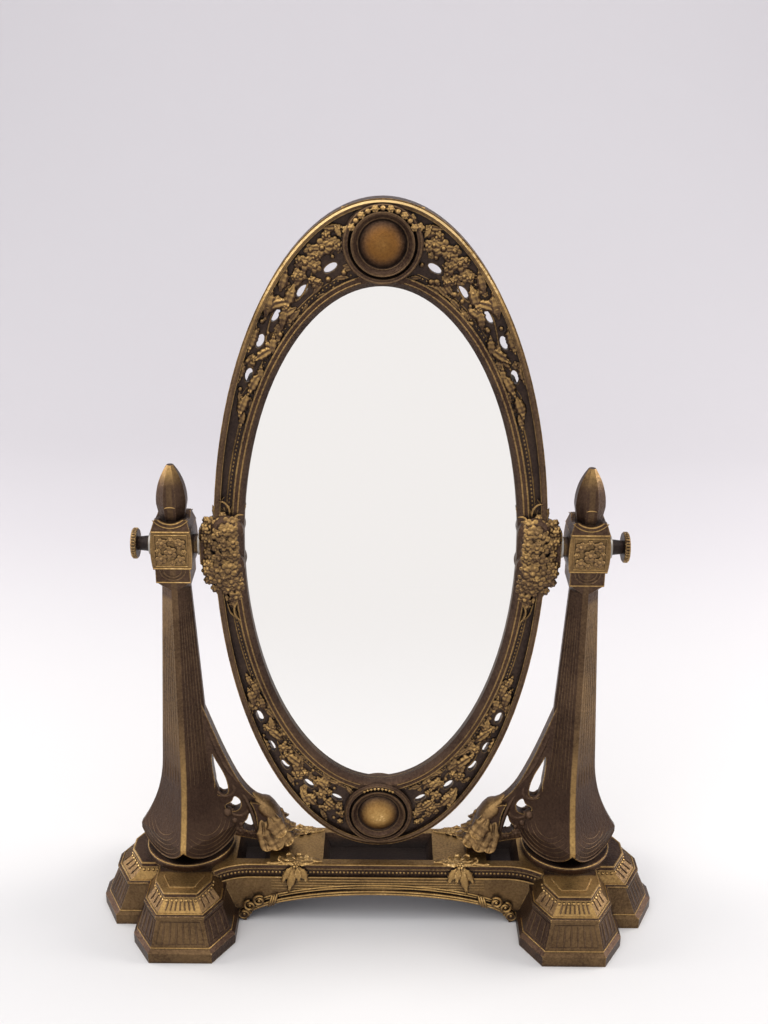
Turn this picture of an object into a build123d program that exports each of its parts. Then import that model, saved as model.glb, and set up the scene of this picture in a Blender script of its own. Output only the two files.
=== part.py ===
from build123d import *
from math import atan2, cos, degrees, radians, sin, sqrt
import os

os.makedirs("parts", exist_ok=True)

# A cast tilting vanity mirror on a two-pedestal stand.
# Millimetres, +Z up, -Y to the front. The origin lies on the floor, midway between the posts.

# Overall layout
post_spacing = 206.0
pivot_height = 216.0
mirror_drop = 3.0
deck_height = 35.5
casting_wall = 4.0

# Pedestal outline at the floor, measured from the post axis
foot_front_reach = 53.0
foot_front_half = 27.0
foot_front_cut_deep = 16.0
foot_front_cut_wide = 10.5
foot_side_reach = 49.0
foot_side_half = 23.0
foot_side_cut_deep = 9.5
foot_side_cut_wide = 18.0

# Pedestal outline at the deck
deck_front_reach = 40.0
deck_front_half = 13.0
deck_front_cut_deep = 10.0
deck_front_cut_wide = 5.5
deck_side_reach = 29.5
deck_side_half = 15.5
deck_side_cut_deep = 6.5
deck_side_cut_wide = 11.0

# Heights of the pedestal mouldings
plinth_height = 6.0
ledge_height = 1.8
dado_height = 23.2
dado_lip = 2.0
crown_lip = 2.4

# Rails that join the pedestals
rail_half_depth = 16.5
rail_band_inset = 1.3
rail_band_bottom = 27.0
rail_crown_height = 3.5
rail_flare_length = 20.0
rail_flare_rise = 7.0
rail_flare_end = 14.0
arch_half_span = 72.0
arch_height = 16.4
arch_moulding_width = 3.2
arch_moulding_proud = 1.4
curl_radius = 3.4
curl_proud = 2.6

# Dished pockets in the deck
pocket_depth = 7.5
pocket_half_width = 12.0
pocket_slope = 25.0
centre_pocket_half_length = 30.0
side_pocket_start = 59.0
side_pocket_end = 77.0

# Post foot and shaft
foot_disc_radius = 24.0
foot_disc_height = 4.0
foot_disc_edge = 1.0
fan_tip_half = 26.6
fan_tip_height = 51.0
fan_core_radius = 15.5
shaft_waist_half = 12.8
shaft_waist_height = 92.0
shaft_top_half = 7.2
ridge_flat = 3.0

# Post head
neck_flare_half = 8.7
neck_flare_height = 5.0
neck_corner_cut = 0.8
step_height = 8.0
block_height = 19.5
block_end_half = 9.6
block_bulge = 0.7
cap_height = 6.0
cap_bottom_half = 9.9
cap_top_half = 7.9
cap_scoop_radius = 10.0
cap_scoop_lift = 8.2

# Pierced bracket on the inner side of each post, as points (distance from the post axis, height)
bracket_half_thickness = 3.0
leaf_half_thickness = 5.0
bracket_top_height = 134.0
bracket_join_height = 50.0
strut_edge = [(14.8, 111.0), (24.4, 86.0), (35.4, 69.0)]
strut_underside = (26.0, 43.5)
leaf_edge = [(43.0, 63.5), (49.5, 56.0), (52.0, 49.5), (54.5, 43.0)]
leaf_back = [(38.6, 41.0), (37.4, 47.0), (37.0, 53.0), (33.5, 66.5)]
leaf_heel = 43.0
leaf_heel_rise = 2.5
bracket_holes = [
    [(14.4, 95.0), (18.6, 85.8), (21.6, 75.6), (20.6, 70.4), (15.6, 70.4), (14.8, 76.0), (14.0, 85.7)],
    [(25.6, 69.0), (28.3, 64.3), (27.2, 61.0), (20.6, 60.6), (19.8, 63.0), (23.6, 66.3)],
    [(33.0, 58.2), (35.6, 52.8), (35.4, 47.2), (29.4, 48.2), (28.4, 50.6), (31.6, 55.0)],
]

# Bud finial
finial_seat_radius = 6.0
finial_seat_height = 4.5
finial_base_half = 5.9
finial_waist_half = 7.3
finial_waist_rise = 8.0
finial_height = 27.4
finial_tip_half = 1.6
stud_radius = 2.0
stud_length = 7.5

# Pivot and thumbscrews
pivot_radius = 2.5
pivot_boss_radius = 5.0
outer_boss_proud = 0.8
inner_boss_proud = 1.8
washer_radius = 5.6
washer_thickness = 1.0
lug_gap = 0.1
knob_neck_radius = 4.0
knob_neck_length = 5.8
knob_radius = 7.8
knob_thickness = 2.8
knob_neck_taper = 0.6
knob_edge = 0.6
knob_dish_radius = 4.2
knob_dish_depth = 0.5
screw_point = 0.5
knurl_count = 32
knurl_depth = 0.45
thread_engagement = 12.0

# Post screws, fitted from beneath
post_screw_radius = 2.5
post_screw_head_radius = 4.6
post_screw_head_height = 3.2
post_screw_engagement = 14.0
post_washer_radius = 6.5
post_washer_thickness = 1.2

# Mirror frame
frame_half_width = 82.5
frame_half_height = 172.5
opening_half_width = 68.0
opening_half_height = 132.7
frame_front = 5.5
band_floor = 3.0
lip_front = 4.8
frame_back = 5.0
rim_width = 3.2
lip_width = 6.0
lip_cove = 2.6
rabbet_width = 3.5
back_rim_width = 3.5
back_recess_start = 78.0

# Medallions at the top and bottom of the frame
medallion_offset = 152.3
medallion_radius = 18.5
medallion_front = 6.4
medallion_ring_radius = 13.4
medallion_ring_width = 1.6
medallion_groove = 1.6
medallion_dome_radius = 10.8
medallion_dome_front = 9.6
medallion_back_step = 2.0
medallion_edge = 1.2
medallion_ring_gap = 1.0
medallion_ring_proud = 0.6

# Lugs that carry the pivots
lug_root_half = 17.0
lug_face_half = 9.0
lug_half_thickness = 5.0
flower_radius = 8.2
flower_rise = 9.3
flower_inset = 6.7
flower_front = 8.6
flower_bevel = 2.4
flower_bevel_angle = 45.0

# Pierced holes in the band: angle round the frame, and share of the way from opening to outer edge
pierced_length = 7.0
pierced_width = 3.4
pierced_places = [
    (71.2, 0.41), (60.2, 0.44), (49.7, 0.59), (42.5, 0.64), (35.2, 0.61),
    (-36.1, 0.67), (-43.6, 0.74), (-50.2, 0.70), (-60.6, 0.57), (-72.4, 0.46),
]

# Glass and what holds it in the frame
glass_thickness = 3.0
pad_thickness = 1.0
plate_thickness = 1.0
edge_clearance = 0.3
clip_angles = [38.0, 90.0, 142.0, 218.0, 270.0, 322.0]
clip_length = 13.0
clip_width = 8.0
clip_thickness = 1.0
clip_overlap = 4.5
clip_screw_radius = 1.5
clip_screw_length = 5.0
clip_head_radius = 2.8
clip_head_height = 1.7
clip_head_taper = 20.0
clip_boss_radius = 4.0

# Clearances
running_clearance = 0.08
thread_clearance = 0.05
hole_clearance = 0.25

# Places worked out from the sizes above
post_x = post_spacing / 2
frame_centre = pivot_height - mirror_drop
disc_top = deck_height + foot_disc_height
block_top = pivot_height + block_height / 2
block_bottom = pivot_height - block_height / 2
step_bottom = block_bottom - step_height
shaft_top = step_bottom - neck_flare_height
cap_top = block_top + cap_height
finial_bottom = block_top + finial_seat_height
block_half = block_end_half + block_bulge
knob_washer_start = block_half + outer_boss_proud
knob_start = knob_washer_start + washer_thickness
pivot_washer_start = block_half + inner_boss_proud + lug_gap
lug_face_x = post_x - pivot_washer_start - washer_thickness
screw_end_x = lug_face_x - thread_engagement
pocket_floor = deck_height - pocket_depth
deck_underside = deck_height - casting_wall


def between(low, high, share):
    return low + (high - low) * share


def pedestal_points(share, wall=0.0):
    # Lobed outline about the post axis: share 0 is the outline at the floor, 1 the one at the deck
    front = between(foot_front_reach, deck_front_reach, share) - wall
    arm = between(foot_front_half, deck_front_half, share) - wall
    front_deep = between(foot_front_cut_deep, deck_front_cut_deep, share)
    front_wide = between(foot_front_cut_wide, deck_front_cut_wide, share)
    side = between(foot_side_reach, deck_side_reach, share) - wall
    side_arm = between(foot_side_half, deck_side_half, share) - wall
    side_deep = between(foot_side_cut_deep, deck_side_cut_deep, share)
    side_wide = between(foot_side_cut_wide, deck_side_cut_wide, share)
    near_half = [
        (-arm, -front + front_deep),
        (-arm + front_wide, -front),
        (arm - front_wide, -front),
        (arm, -front + front_deep),
        (arm, -side_arm),
        (side - side_deep, -side_arm),
        (side, -side_arm + side_wide),
    ]
    far_half = [(x, -y) for x, y in reversed(near_half)]
    return near_half + far_half


def post_plane(turn):
    # Upright plane through the right post's axis, its X turned from +X by this many degrees
    angle = radians(turn)
    return Plane(
        origin=(post_x, 0, 0),
        x_dir=(cos(angle), sin(angle), 0),
        z_dir=(sin(angle), -cos(angle), 0),
    )


def face_plane(depth):
    # Plane that faces the front at this depth, centred on the mirror frame
    return Plane(origin=(0, depth, frame_centre), x_dir=(1, 0, 0), z_dir=(0, -1, 0))


def inward(distance, height):
    # Point in the upright plane of the posts, at this distance from the right post towards the mirror
    return (post_x - distance, height)


def export(part, label):
    part.label = label
    export_step(part, f"parts/{label}.step")


# Stepped pedestals with lobed outlines, hollow from beneath
dado_share = 0.48
crown_share = 0.92
pedestal_levels = [
    (0.0, 0.0),
    (plinth_height, 0.0),
    (plinth_height + ledge_height, 0.13),
    (dado_height, dado_share),
    (dado_height + dado_lip / 4, dado_share - 0.06),
    (dado_height + dado_lip, dado_share - 0.06),
    (dado_height + dado_lip * 1.25, dado_share + 0.03),
    (deck_height - crown_lip * 1.25, crown_share),
    (deck_height - crown_lip, crown_share - 0.05),
    (deck_height, crown_share),
]
cavity_levels = [
    (0.0, 0.0),
    (plinth_height, 0.06),
    (between(plinth_height, dado_height, 0.9), dado_share),
    (deck_underside, crown_share - 0.02),
]

with BuildPart() as pedestal_form:
    for height, share in pedestal_levels:
        with BuildSketch(Plane.XY.offset(height)):
            with Locations((post_x, 0)):
                Polygon(*pedestal_points(share), align=None)
    loft(ruled=True)

with BuildPart() as right_pedestal:
    add(pedestal_form.part)
    for height, share in cavity_levels:
        with BuildSketch(Plane.XY.offset(height)):
            with Locations((post_x, 0)):
                Polygon(*pedestal_points(share, casting_wall), align=None)
    loft(ruled=True, mode=Mode.SUBTRACT)
    with Locations((post_x, 0, deck_height)):
        Hole(post_screw_radius + hole_clearance)

# Bridge: two arched rails joined by a dished deck, fitted between the pedestals
rail_layers = [
    (0.0, rail_band_bottom, rail_half_depth),
    (rail_band_bottom, deck_height - rail_crown_height, rail_half_depth - rail_band_inset),
    (deck_height - rail_crown_height, deck_height, rail_half_depth - rail_band_inset / 4),
]
flare_start = post_x - rail_flare_end - rail_flare_length
flare_end = post_x - rail_flare_end

with BuildPart() as bridge:
    for bottom, top, depth in rail_layers:
        with BuildSketch(Plane.XY.offset(bottom)):
            with BuildLine():
                Line((0, -depth), (flare_start, -depth))
                TangentArc((flare_start, -depth), (flare_end, -depth - rail_flare_rise), tangent=(1, 0))
                Line((flare_end, -depth - rail_flare_rise), (flare_end, 0))
                mirror(about=Plane.XZ)
                mirror(about=Plane.YZ)
            make_face()
        extrude(amount=top - bottom)
    # Moulding that follows the arch, with a curl at each end, on the front and back rails
    with BuildSketch(Plane.XZ.offset(rail_half_depth)):
        Ellipse(arch_half_span + arch_moulding_width, arch_height + arch_moulding_width)
        Ellipse(arch_half_span, arch_height, mode=Mode.SUBTRACT)
        Rectangle(post_spacing, deck_height, align=(Align.CENTER, Align.MAX), mode=Mode.SUBTRACT)
    arch_moulding = extrude(amount=arch_moulding_proud)
    with BuildSketch(Plane.XZ.offset(rail_half_depth)):
        with Locations((arch_half_span, curl_radius), (-arch_half_span, curl_radius)):
            Circle(curl_radius)
    curls = extrude(amount=curl_proud)
    mirror(arch_moulding, about=Plane.XZ)
    mirror(curls, about=Plane.XZ)
    # Channel beneath, and the arch through both rails
    with BuildSketch():
        Rectangle(post_spacing, 2 * (rail_half_depth - rail_band_inset - casting_wall))
    extrude(amount=pocket_floor - casting_wall, mode=Mode.SUBTRACT)
    with BuildSketch(Plane.XZ):
        Ellipse(arch_half_span, arch_height)
    extrude(amount=rail_half_depth + curl_proud, both=True, mode=Mode.SUBTRACT)
    # Pockets in the deck, under the mirror and beside each post
    with BuildSketch(Plane.XY.offset(deck_height)):
        Rectangle(2 * centre_pocket_half_length, 2 * pocket_half_width)
        side_pocket_centre = (side_pocket_start + side_pocket_end) / 2
        with Locations((side_pocket_centre, 0), (-side_pocket_centre, 0)):
            Rectangle(side_pocket_end - side_pocket_start, 2 * pocket_half_width)
    extrude(amount=-pocket_depth, taper=pocket_slope, mode=Mode.SUBTRACT)
    # Ends cut to the shape of the pedestals
    add(pedestal_form.part, mode=Mode.SUBTRACT)
    add(mirror(pedestal_form.part, about=Plane.YZ, mode=Mode.PRIVATE), mode=Mode.SUBTRACT)
export(bridge.part, "bridge")

# Post: a square shaft turned corner to the front, on a round foot, with a square head
ridge_cut = ridge_flat / 2
shaft_sections = [(45, 1 / sqrt(2), ridge_cut), (-45, 1 / sqrt(2), ridge_cut), (0, 1, 0), (90, 1, 0)]
fan_half = (fan_tip_half + ridge_cut) / sqrt(2)

with BuildPart() as fan_cuts:
    for turn in (45, -45):
        with BuildSketch(post_plane(turn)):
            with BuildLine():
                ThreePointArc((-fan_half, fan_tip_height), (0, disc_top), (fan_half, fan_tip_height))
                Polyline(
                    (fan_half, fan_tip_height),
                    (2 * fan_half, fan_tip_height),
                    (2 * fan_half, deck_height),
                    (-2 * fan_half, deck_height),
                    (-2 * fan_half, fan_tip_height),
                    (-fan_half, fan_tip_height),
                )
            make_face()
        extrude(amount=2 * fan_half, both=True, mode=Mode.INTERSECT if turn < 0 else Mode.ADD)

with BuildPart() as shaft:
    for index, (turn, scale_by, widen) in enumerate(shaft_sections):
        top_half = (shaft_top_half + widen) * scale_by
        waist_half = (shaft_waist_half + widen) * scale_by
        tip_half = (fan_tip_half + widen) * scale_by
        taper = (waist_half - top_half, shaft_waist_height - shaft_top)
        with BuildSketch(post_plane(turn)):
            with BuildLine():
                Line((0, shaft_top), (top_half, shaft_top))
                Line((top_half, shaft_top), (waist_half, shaft_waist_height))
                TangentArc((waist_half, shaft_waist_height), (tip_half, fan_tip_height), tangent=taper)
                Line((tip_half, fan_tip_height), (tip_half, disc_top))
                Line((tip_half, disc_top), (0, disc_top))
                mirror(about=Plane.YZ)
            make_face()
        extrude(amount=2 * fan_half, both=True, mode=Mode.INTERSECT if index else Mode.ADD)
    add(fan_cuts.part, mode=Mode.SUBTRACT)

# Neck: from the shaft's section to the square head
neck_levels = [
    (shaft_top, shaft_top_half, shaft_top_half - ridge_cut),
    (step_bottom, neck_flare_half, neck_corner_cut),
]

with BuildPart() as neck:
    for height, half, cut in neck_levels:
        with BuildSketch(Plane.XY.offset(height)):
            with Locations((post_x, 0)):
                Polygon(
                    (cut - half, -half),
                    (half - cut, -half),
                    (half, cut - half),
                    (half, half - cut),
                    (half - cut, half),
                    (cut - half, half),
                    (-half, half - cut),
                    (-half, cut - half),
                    align=None,
                )
    loft(ruled=True)

with BuildPart() as head:
    for turn in (0, 90):
        with BuildSketch(post_plane(turn)):
            with BuildLine():
                Line((0, step_bottom), (neck_flare_half, step_bottom))
                Line((neck_flare_half, step_bottom), (neck_flare_half, block_bottom))
                Line((neck_flare_half, block_bottom), (block_end_half, block_bottom))
                ThreePointArc(
                    (block_end_half, block_bottom),
                    (block_half, pivot_height),
                    (block_end_half, block_top),
                )
                Line((block_end_half, block_top), (cap_bottom_half, block_top))
                Line((cap_bottom_half, block_top), (cap_top_half, cap_top))
                Line((cap_top_half, cap_top), (0, cap_top))
                mirror(about=Plane.YZ)
            make_face()
        extrude(amount=2 * block_half, both=True, mode=Mode.INTERSECT if turn else Mode.ADD)
    # Scooped top of each face of the cap, and the round socket and seat of the finial
    for turn in (0, 90):
        with BuildSketch(post_plane(turn)):
            with Locations((0, cap_top + cap_scoop_lift)):
                Circle(cap_scoop_radius)
        extrude(amount=2 * block_half, both=True, mode=Mode.SUBTRACT)
    with BuildSketch(Plane.XY.offset(finial_bottom)):
        with Locations((post_x, 0)):
            Circle(finial_waist_half)
    extrude(amount=cap_height, mode=Mode.SUBTRACT)
    with BuildSketch(Plane.XY.offset(block_top)):
        with Locations((post_x, 0)):
            Circle(finial_seat_radius)
    extrude(amount=finial_seat_height)
    # Flat bosses that the washers bear on
    with BuildSketch(Plane.YZ.offset(post_x)):
        with Locations((0, pivot_height)):
            Circle(pivot_boss_radius)
    extrude(amount=knob_washer_start)
    with BuildSketch(Plane.YZ.offset(post_x)):
        with Locations((0, pivot_height)):
            Circle(pivot_boss_radius)
    extrude(amount=-block_half - inner_boss_proud)

leaf_foot = [inward(leaf_edge[-1][0], deck_height), inward(leaf_heel, deck_height)]
bracket_root = shaft_waist_half / 2

with BuildPart() as right_post:
    with BuildSketch(Plane.XY.offset(deck_height)):
        with Locations((post_x, 0)):
            Circle(foot_disc_radius)
    extrude(amount=foot_disc_height)
    chamfer(right_post.edges().group_by(Axis.Z)[-1], length=foot_disc_edge)
    with BuildSketch(Plane.XY.offset(disc_top)):
        with Locations((post_x, 0)):
            Circle(fan_core_radius)
    extrude(amount=fan_tip_height - disc_top)
    add(shaft.part)
    add(neck.part)
    add(head.part)
    # Bracket: a pierced strut that sweeps down from the shaft to a leaf standing on the deck
    with BuildSketch(Plane.XZ):
        with BuildLine():
            Spline(
                inward(bracket_root, bracket_top_height),
                *[inward(*spot) for spot in strut_edge + leaf_edge],
            )
            Polyline(
                inward(*leaf_edge[-1]),
                *leaf_foot,
                inward(*leaf_back[0]),
                inward(*strut_underside),
                inward(bracket_root, bracket_join_height),
                inward(bracket_root, bracket_top_height),
            )
        make_face()
        for outline in bracket_holes:
            with BuildLine(mode=Mode.PRIVATE) as hole_line:
                Spline(*[inward(*spot) for spot in outline], periodic=True)
            make_face(hole_line.edges(), mode=Mode.SUBTRACT)
    extrude(amount=bracket_half_thickness, both=True)
    with BuildSketch(Plane.XZ):
        with BuildLine():
            Spline(*[inward(*spot) for spot in [leaf_back[-1]] + leaf_edge])
            Polyline(
                inward(*leaf_edge[-1]),
                *leaf_foot,
                inward(leaf_heel, deck_height + leaf_heel_rise),
            )
            Spline(
                inward(leaf_heel, deck_height + leaf_heel_rise),
                *[inward(*spot) for spot in leaf_back],
            )
        make_face()
    extrude(amount=leaf_half_thickness, both=True)
    # Bore for the pivot screw, the finial's stud and the screw from beneath
    with BuildSketch(Plane.YZ.offset(post_x)):
        with Locations((0, pivot_height)):
            Circle(pivot_radius + running_clearance)
    extrude(amount=2 * block_half, both=True, mode=Mode.SUBTRACT)
    with BuildSketch(Plane.XY.offset(finial_bottom)):
        with Locations((post_x, 0)):
            Circle(stud_radius + thread_clearance)
    extrude(amount=-stud_length - hole_clearance, mode=Mode.SUBTRACT)
    with BuildSketch(Plane.XY.offset(deck_height)):
        with Locations((post_x, 0)):
            Circle(post_screw_radius + thread_clearance)
    extrude(amount=post_screw_engagement + hole_clearance, mode=Mode.SUBTRACT)

# Finial: an eight-sided bud with short facets beneath, on a threaded stud
finial_waist = finial_bottom + finial_waist_rise
finial_tip = finial_bottom + finial_height
shoulder_half = between(finial_waist_half, finial_tip_half, 0.14)
shoulder_height = between(finial_waist, finial_tip, 0.42)

with BuildPart() as right_finial:
    for turn in (0, 45, 90, 135):
        with BuildSketch(post_plane(turn)):
            with BuildLine():
                Line((0, finial_bottom), (finial_base_half, finial_bottom))
                Line((finial_base_half, finial_bottom), (finial_waist_half, finial_waist))
                ThreePointArc(
                    (finial_waist_half, finial_waist),
                    (shoulder_half, shoulder_height),
                    (finial_tip_half, finial_tip),
                )
                Line((finial_tip_half, finial_tip), (0, finial_tip))
                mirror(about=Plane.YZ)
            make_face()
        extrude(amount=2 * finial_waist_half, both=True, mode=Mode.INTERSECT if turn else Mode.ADD)
    with BuildSketch(Plane.XY.offset(finial_bottom)):
        with Locations((post_x, 0)):
            Circle(stud_radius)
    extrude(amount=-stud_length)

# Screw and washer that hold each post, reached through the hollow pedestal
post_screw_head_top = deck_underside - post_washer_thickness

with BuildPart() as right_post_screw:
    with BuildSketch(Plane.XY.offset(post_screw_head_top)):
        with Locations((post_x, 0)):
            Circle(post_screw_head_radius)
    extrude(amount=-post_screw_head_height)
    with BuildSketch(Plane.XY.offset(post_screw_head_top - post_screw_head_height)):
        with Locations((post_x, 0)):
            RegularPolygon(post_screw_radius, 6)
    extrude(amount=post_screw_head_height / 2, mode=Mode.SUBTRACT)
    with BuildSketch(Plane.XY.offset(post_screw_head_top)):
        with Locations((post_x, 0)):
            Circle(post_screw_radius)
    extrude(amount=deck_height + post_screw_engagement - post_screw_head_top)

with BuildPart() as right_post_washer:
    with BuildSketch(Plane.XY.offset(post_screw_head_top)):
        with Locations((post_x, 0)):
            Circle(post_washer_radius)
            Circle(post_screw_radius + hole_clearance, mode=Mode.SUBTRACT)
    extrude(amount=post_washer_thickness)

# Thumbscrew: knurled knob, neck and shank, all turned about the pivot axis
knob_inner_x = post_x + knob_start
knob_rim_x = knob_inner_x + knob_neck_length
knob_outer_x = knob_rim_x + knob_thickness
pivot_axis = Axis((0, 0, pivot_height), (1, 0, 0))

with BuildPart() as right_thumbscrew:
    with BuildSketch(Plane.XZ):
        with Locations((0, pivot_height)):
            Polygon(
                (screw_end_x, 0),
                (screw_end_x, pivot_radius - screw_point),
                (screw_end_x + screw_point, pivot_radius),
                (knob_inner_x, pivot_radius),
                (knob_inner_x, knob_neck_radius),
                (knob_rim_x, knob_neck_radius - knob_neck_taper),
                (knob_rim_x, knob_radius - knob_edge),
                (knob_rim_x + knob_edge, knob_radius),
                (knob_outer_x - knob_edge, knob_radius),
                (knob_outer_x, knob_radius - knob_edge),
                (knob_outer_x - knob_dish_depth, knob_dish_radius),
                (knob_outer_x, 0),
                align=None,
            )
    revolve(axis=pivot_axis)
    with BuildSketch(Plane.YZ.offset(knob_rim_x)):
        with Locations((0, pivot_height)):
            with PolarLocations(knob_radius, knurl_count):
                Circle(knurl_depth)
    extrude(amount=knob_thickness, mode=Mode.SUBTRACT)

with BuildPart() as right_knob_washer:
    with BuildSketch(Plane.YZ.offset(post_x + knob_washer_start)):
        with Locations((0, pivot_height)):
            Circle(washer_radius)
            Circle(pivot_radius + running_clearance, mode=Mode.SUBTRACT)
    extrude(amount=washer_thickness)

with BuildPart() as right_pivot_washer:
    with BuildSketch(Plane.YZ.offset(lug_face_x)):
        with Locations((0, pivot_height)):
            Circle(washer_radius)
            Circle(pivot_radius + running_clearance, mode=Mode.SUBTRACT)
    extrude(amount=washer_thickness)

paired = {
    "pedestal": right_pedestal,
    "post": right_post,
    "finial": right_finial,
    "post_screw": right_post_screw,
    "post_washer": right_post_washer,
    "thumbscrew": right_thumbscrew,
    "knob_washer": right_knob_washer,
    "pivot_washer": right_pivot_washer,
}
for name, piece in paired.items():
    export(piece.part, f"right_{name}")
    export(mirror(piece.part, about=Plane.YZ), f"left_{name}")

# Mirror frame: an oval ring with a raised rim, a recessed pierced band and a coved lip
rabbet_half_width = opening_half_width + rabbet_width
rabbet_half_height = opening_half_height + rabbet_width
band_to_front = frame_front - band_floor
medallion_spots = [(0, medallion_offset), (0, -medallion_offset)]


def rabbet_spot(angle, outside):
    # Point this far outside the rabbet's edge, and the direction of that edge's normal in degrees
    x = rabbet_half_width * cos(radians(angle))
    z = rabbet_half_height * sin(radians(angle))
    normal = atan2(z / rabbet_half_height**2, x / rabbet_half_width**2)
    return (x + outside * cos(normal), z + outside * sin(normal)), degrees(normal)


def band_location(angle, share):
    # Place on the band at this share from the opening to the outer edge, turned along the band
    half_width = between(opening_half_width, frame_half_width, share)
    half_height = between(opening_half_height, frame_half_height, share)
    across = cos(radians(angle))
    up = sin(radians(angle))
    direction = atan2(half_height * across, -half_width * up)
    return Location((half_width * across, half_height * up), degrees(direction))


with BuildPart() as mirror_frame:
    with BuildSketch(face_plane(frame_back)):
        Ellipse(frame_half_width, frame_half_height)
        Ellipse(opening_half_width, opening_half_height, mode=Mode.SUBTRACT)
    extrude(amount=frame_back + band_floor)
    # Hollow back of the band above and below, ahead of the medallions' solid backs
    with BuildSketch(face_plane(frame_back)):
        Ellipse(frame_half_width - back_rim_width, frame_half_height - back_rim_width)
        Ellipse(
            rabbet_half_width + back_rim_width,
            rabbet_half_height + back_rim_width,
            mode=Mode.SUBTRACT,
        )
        Rectangle(2 * frame_half_width, 2 * back_recess_start, mode=Mode.SUBTRACT)
        with Locations(*medallion_spots):
            Circle(medallion_radius - medallion_back_step, mode=Mode.SUBTRACT)
        for angle in clip_angles:
            with Locations(rabbet_spot(angle, clip_boss_radius)[0]):
                Circle(clip_boss_radius, mode=Mode.SUBTRACT)
    extrude(amount=frame_back, mode=Mode.SUBTRACT)
    # Rim at the outer edge and lip at the glass
    with BuildSketch(face_plane(-band_floor)):
        Ellipse(frame_half_width, frame_half_height)
        Ellipse(frame_half_width - rim_width, frame_half_height - rim_width, mode=Mode.SUBTRACT)
    extrude(amount=band_to_front)
    with BuildSketch(face_plane(-band_floor)):
        Ellipse(opening_half_width + lip_width, opening_half_height + lip_width)
        Ellipse(opening_half_width, opening_half_height, mode=Mode.SUBTRACT)
    extrude(amount=lip_front - band_floor)
    lip_edge = mirror_frame.edges().filter_by_position(Axis.Y, -lip_front - 0.01, -lip_front + 0.01)
    chamfer(lip_edge.sort_by(SortBy.LENGTH)[0], length=lip_cove)
    # Lugs, with two flower bosses on the front of each
    with BuildSketch(face_plane(lug_half_thickness)):
        for side in (1, -1):
            Polygon(
                (side * (opening_half_width + lip_width), mirror_drop - lug_root_half),
                (side * (frame_half_width - rim_width), mirror_drop - lug_root_half),
                (side * lug_face_x, mirror_drop - lug_face_half),
                (side * lug_face_x, mirror_drop + lug_face_half),
                (side * (frame_half_width - rim_width), mirror_drop + lug_root_half),
                (side * (opening_half_width + lip_width), mirror_drop + lug_root_half),
                align=None,
            )
    extrude(amount=2 * lug_half_thickness)
    flower_x = frame_half_width - flower_inset
    flower_edge = flower_front - flower_bevel
    flower_spots = [
        (side * flower_x, mirror_drop + rise)
        for side in (1, -1)
        for rise in (flower_rise, -flower_rise)
    ]
    with BuildSketch(face_plane(-band_floor)):
        with Locations(*flower_spots):
            Circle(flower_radius)
    extrude(amount=flower_edge - band_floor)
    with BuildSketch(face_plane(-flower_edge)):
        with Locations(*flower_spots):
            Circle(flower_radius)
    extrude(amount=flower_bevel, taper=flower_bevel_angle)
    # Medallions: a collar, a ring and a dome turned about one axis
    medallion_root = -band_floor / 2
    medallion_ring_outer = medallion_ring_radius + medallion_ring_width
    medallion_ring_front = medallion_front + medallion_ring_proud
    for spot in medallion_spots:
        centre = frame_centre + spot[1]
        with BuildSketch(Plane(origin=(0, 0, centre), x_dir=(0, 1, 0), z_dir=(1, 0, 0))):
            with BuildLine():
                Polyline(
                    (medallion_root, 0),
                    (medallion_root, medallion_radius),
                    (-medallion_front + medallion_edge, medallion_radius),
                    (-medallion_front, medallion_radius - medallion_edge),
                    (-medallion_front, medallion_ring_outer + medallion_ring_gap),
                    (-medallion_front + medallion_groove, medallion_ring_outer),
                    (-medallion_ring_front, medallion_ring_outer - medallion_ring_width / 2),
                    (-medallion_ring_front, medallion_ring_radius),
                    (-medallion_front + medallion_groove, medallion_dome_radius),
                )
                TangentArc(
                    (-medallion_dome_front, 0),
                    (-medallion_front + medallion_groove, medallion_dome_radius),
                    tangent=(0, 1),
                )
                Line((-medallion_dome_front, 0), (medallion_root, 0))
            make_face()
        revolve(axis=Axis((0, 0, centre), (0, 1, 0)))
    # Rabbet for the glass, the opening kept clear, and the pierced holes
    with BuildSketch(face_plane(frame_back)):
        Ellipse(rabbet_half_width, rabbet_half_height)
    extrude(amount=frame_back, mode=Mode.SUBTRACT)
    with BuildSketch(face_plane(0)):
        with Locations(*[band_location(angle, share) for angle, share in pierced_places]):
            Ellipse(pierced_length / 2, pierced_width / 2)
        mirror(about=Plane.YZ)
    extrude(amount=band_floor + frame_front, both=True, mode=Mode.SUBTRACT)
    # Threaded bores for the pivots and the clip screws
    with BuildSketch(Plane.YZ.offset(screw_end_x - hole_clearance)):
        with Locations((0, pivot_height)):
            Circle(pivot_radius + thread_clearance)
    pivot_bore = extrude(amount=thread_engagement + 1, mode=Mode.SUBTRACT)
    mirror(pivot_bore, about=Plane.YZ, mode=Mode.SUBTRACT)
    with BuildSketch(face_plane(frame_back)):
        for angle in clip_angles:
            with Locations(rabbet_spot(angle, clip_boss_radius)[0]):
                Circle(clip_screw_radius + thread_clearance)
    extrude(amount=clip_screw_length + hole_clearance, mode=Mode.SUBTRACT)
export(mirror_frame.part, "mirror_frame")

# Glass, pad and back plate, stacked in the rabbet
backing_layers = [
    ("mirror_glass", 0.0, glass_thickness),
    ("backing_pad", glass_thickness, pad_thickness),
    ("back_plate", glass_thickness + pad_thickness, plate_thickness),
]
for name, depth, thickness in backing_layers:
    with BuildPart() as layer:
        with BuildSketch(face_plane(depth + thickness)):
            Ellipse(rabbet_half_width - edge_clearance, rabbet_half_height - edge_clearance)
        extrude(amount=thickness)
    export(layer.part, name)

# Clips that lap over the plate, each held by one small screw in the frame
clip_back = frame_back + clip_thickness

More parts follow.
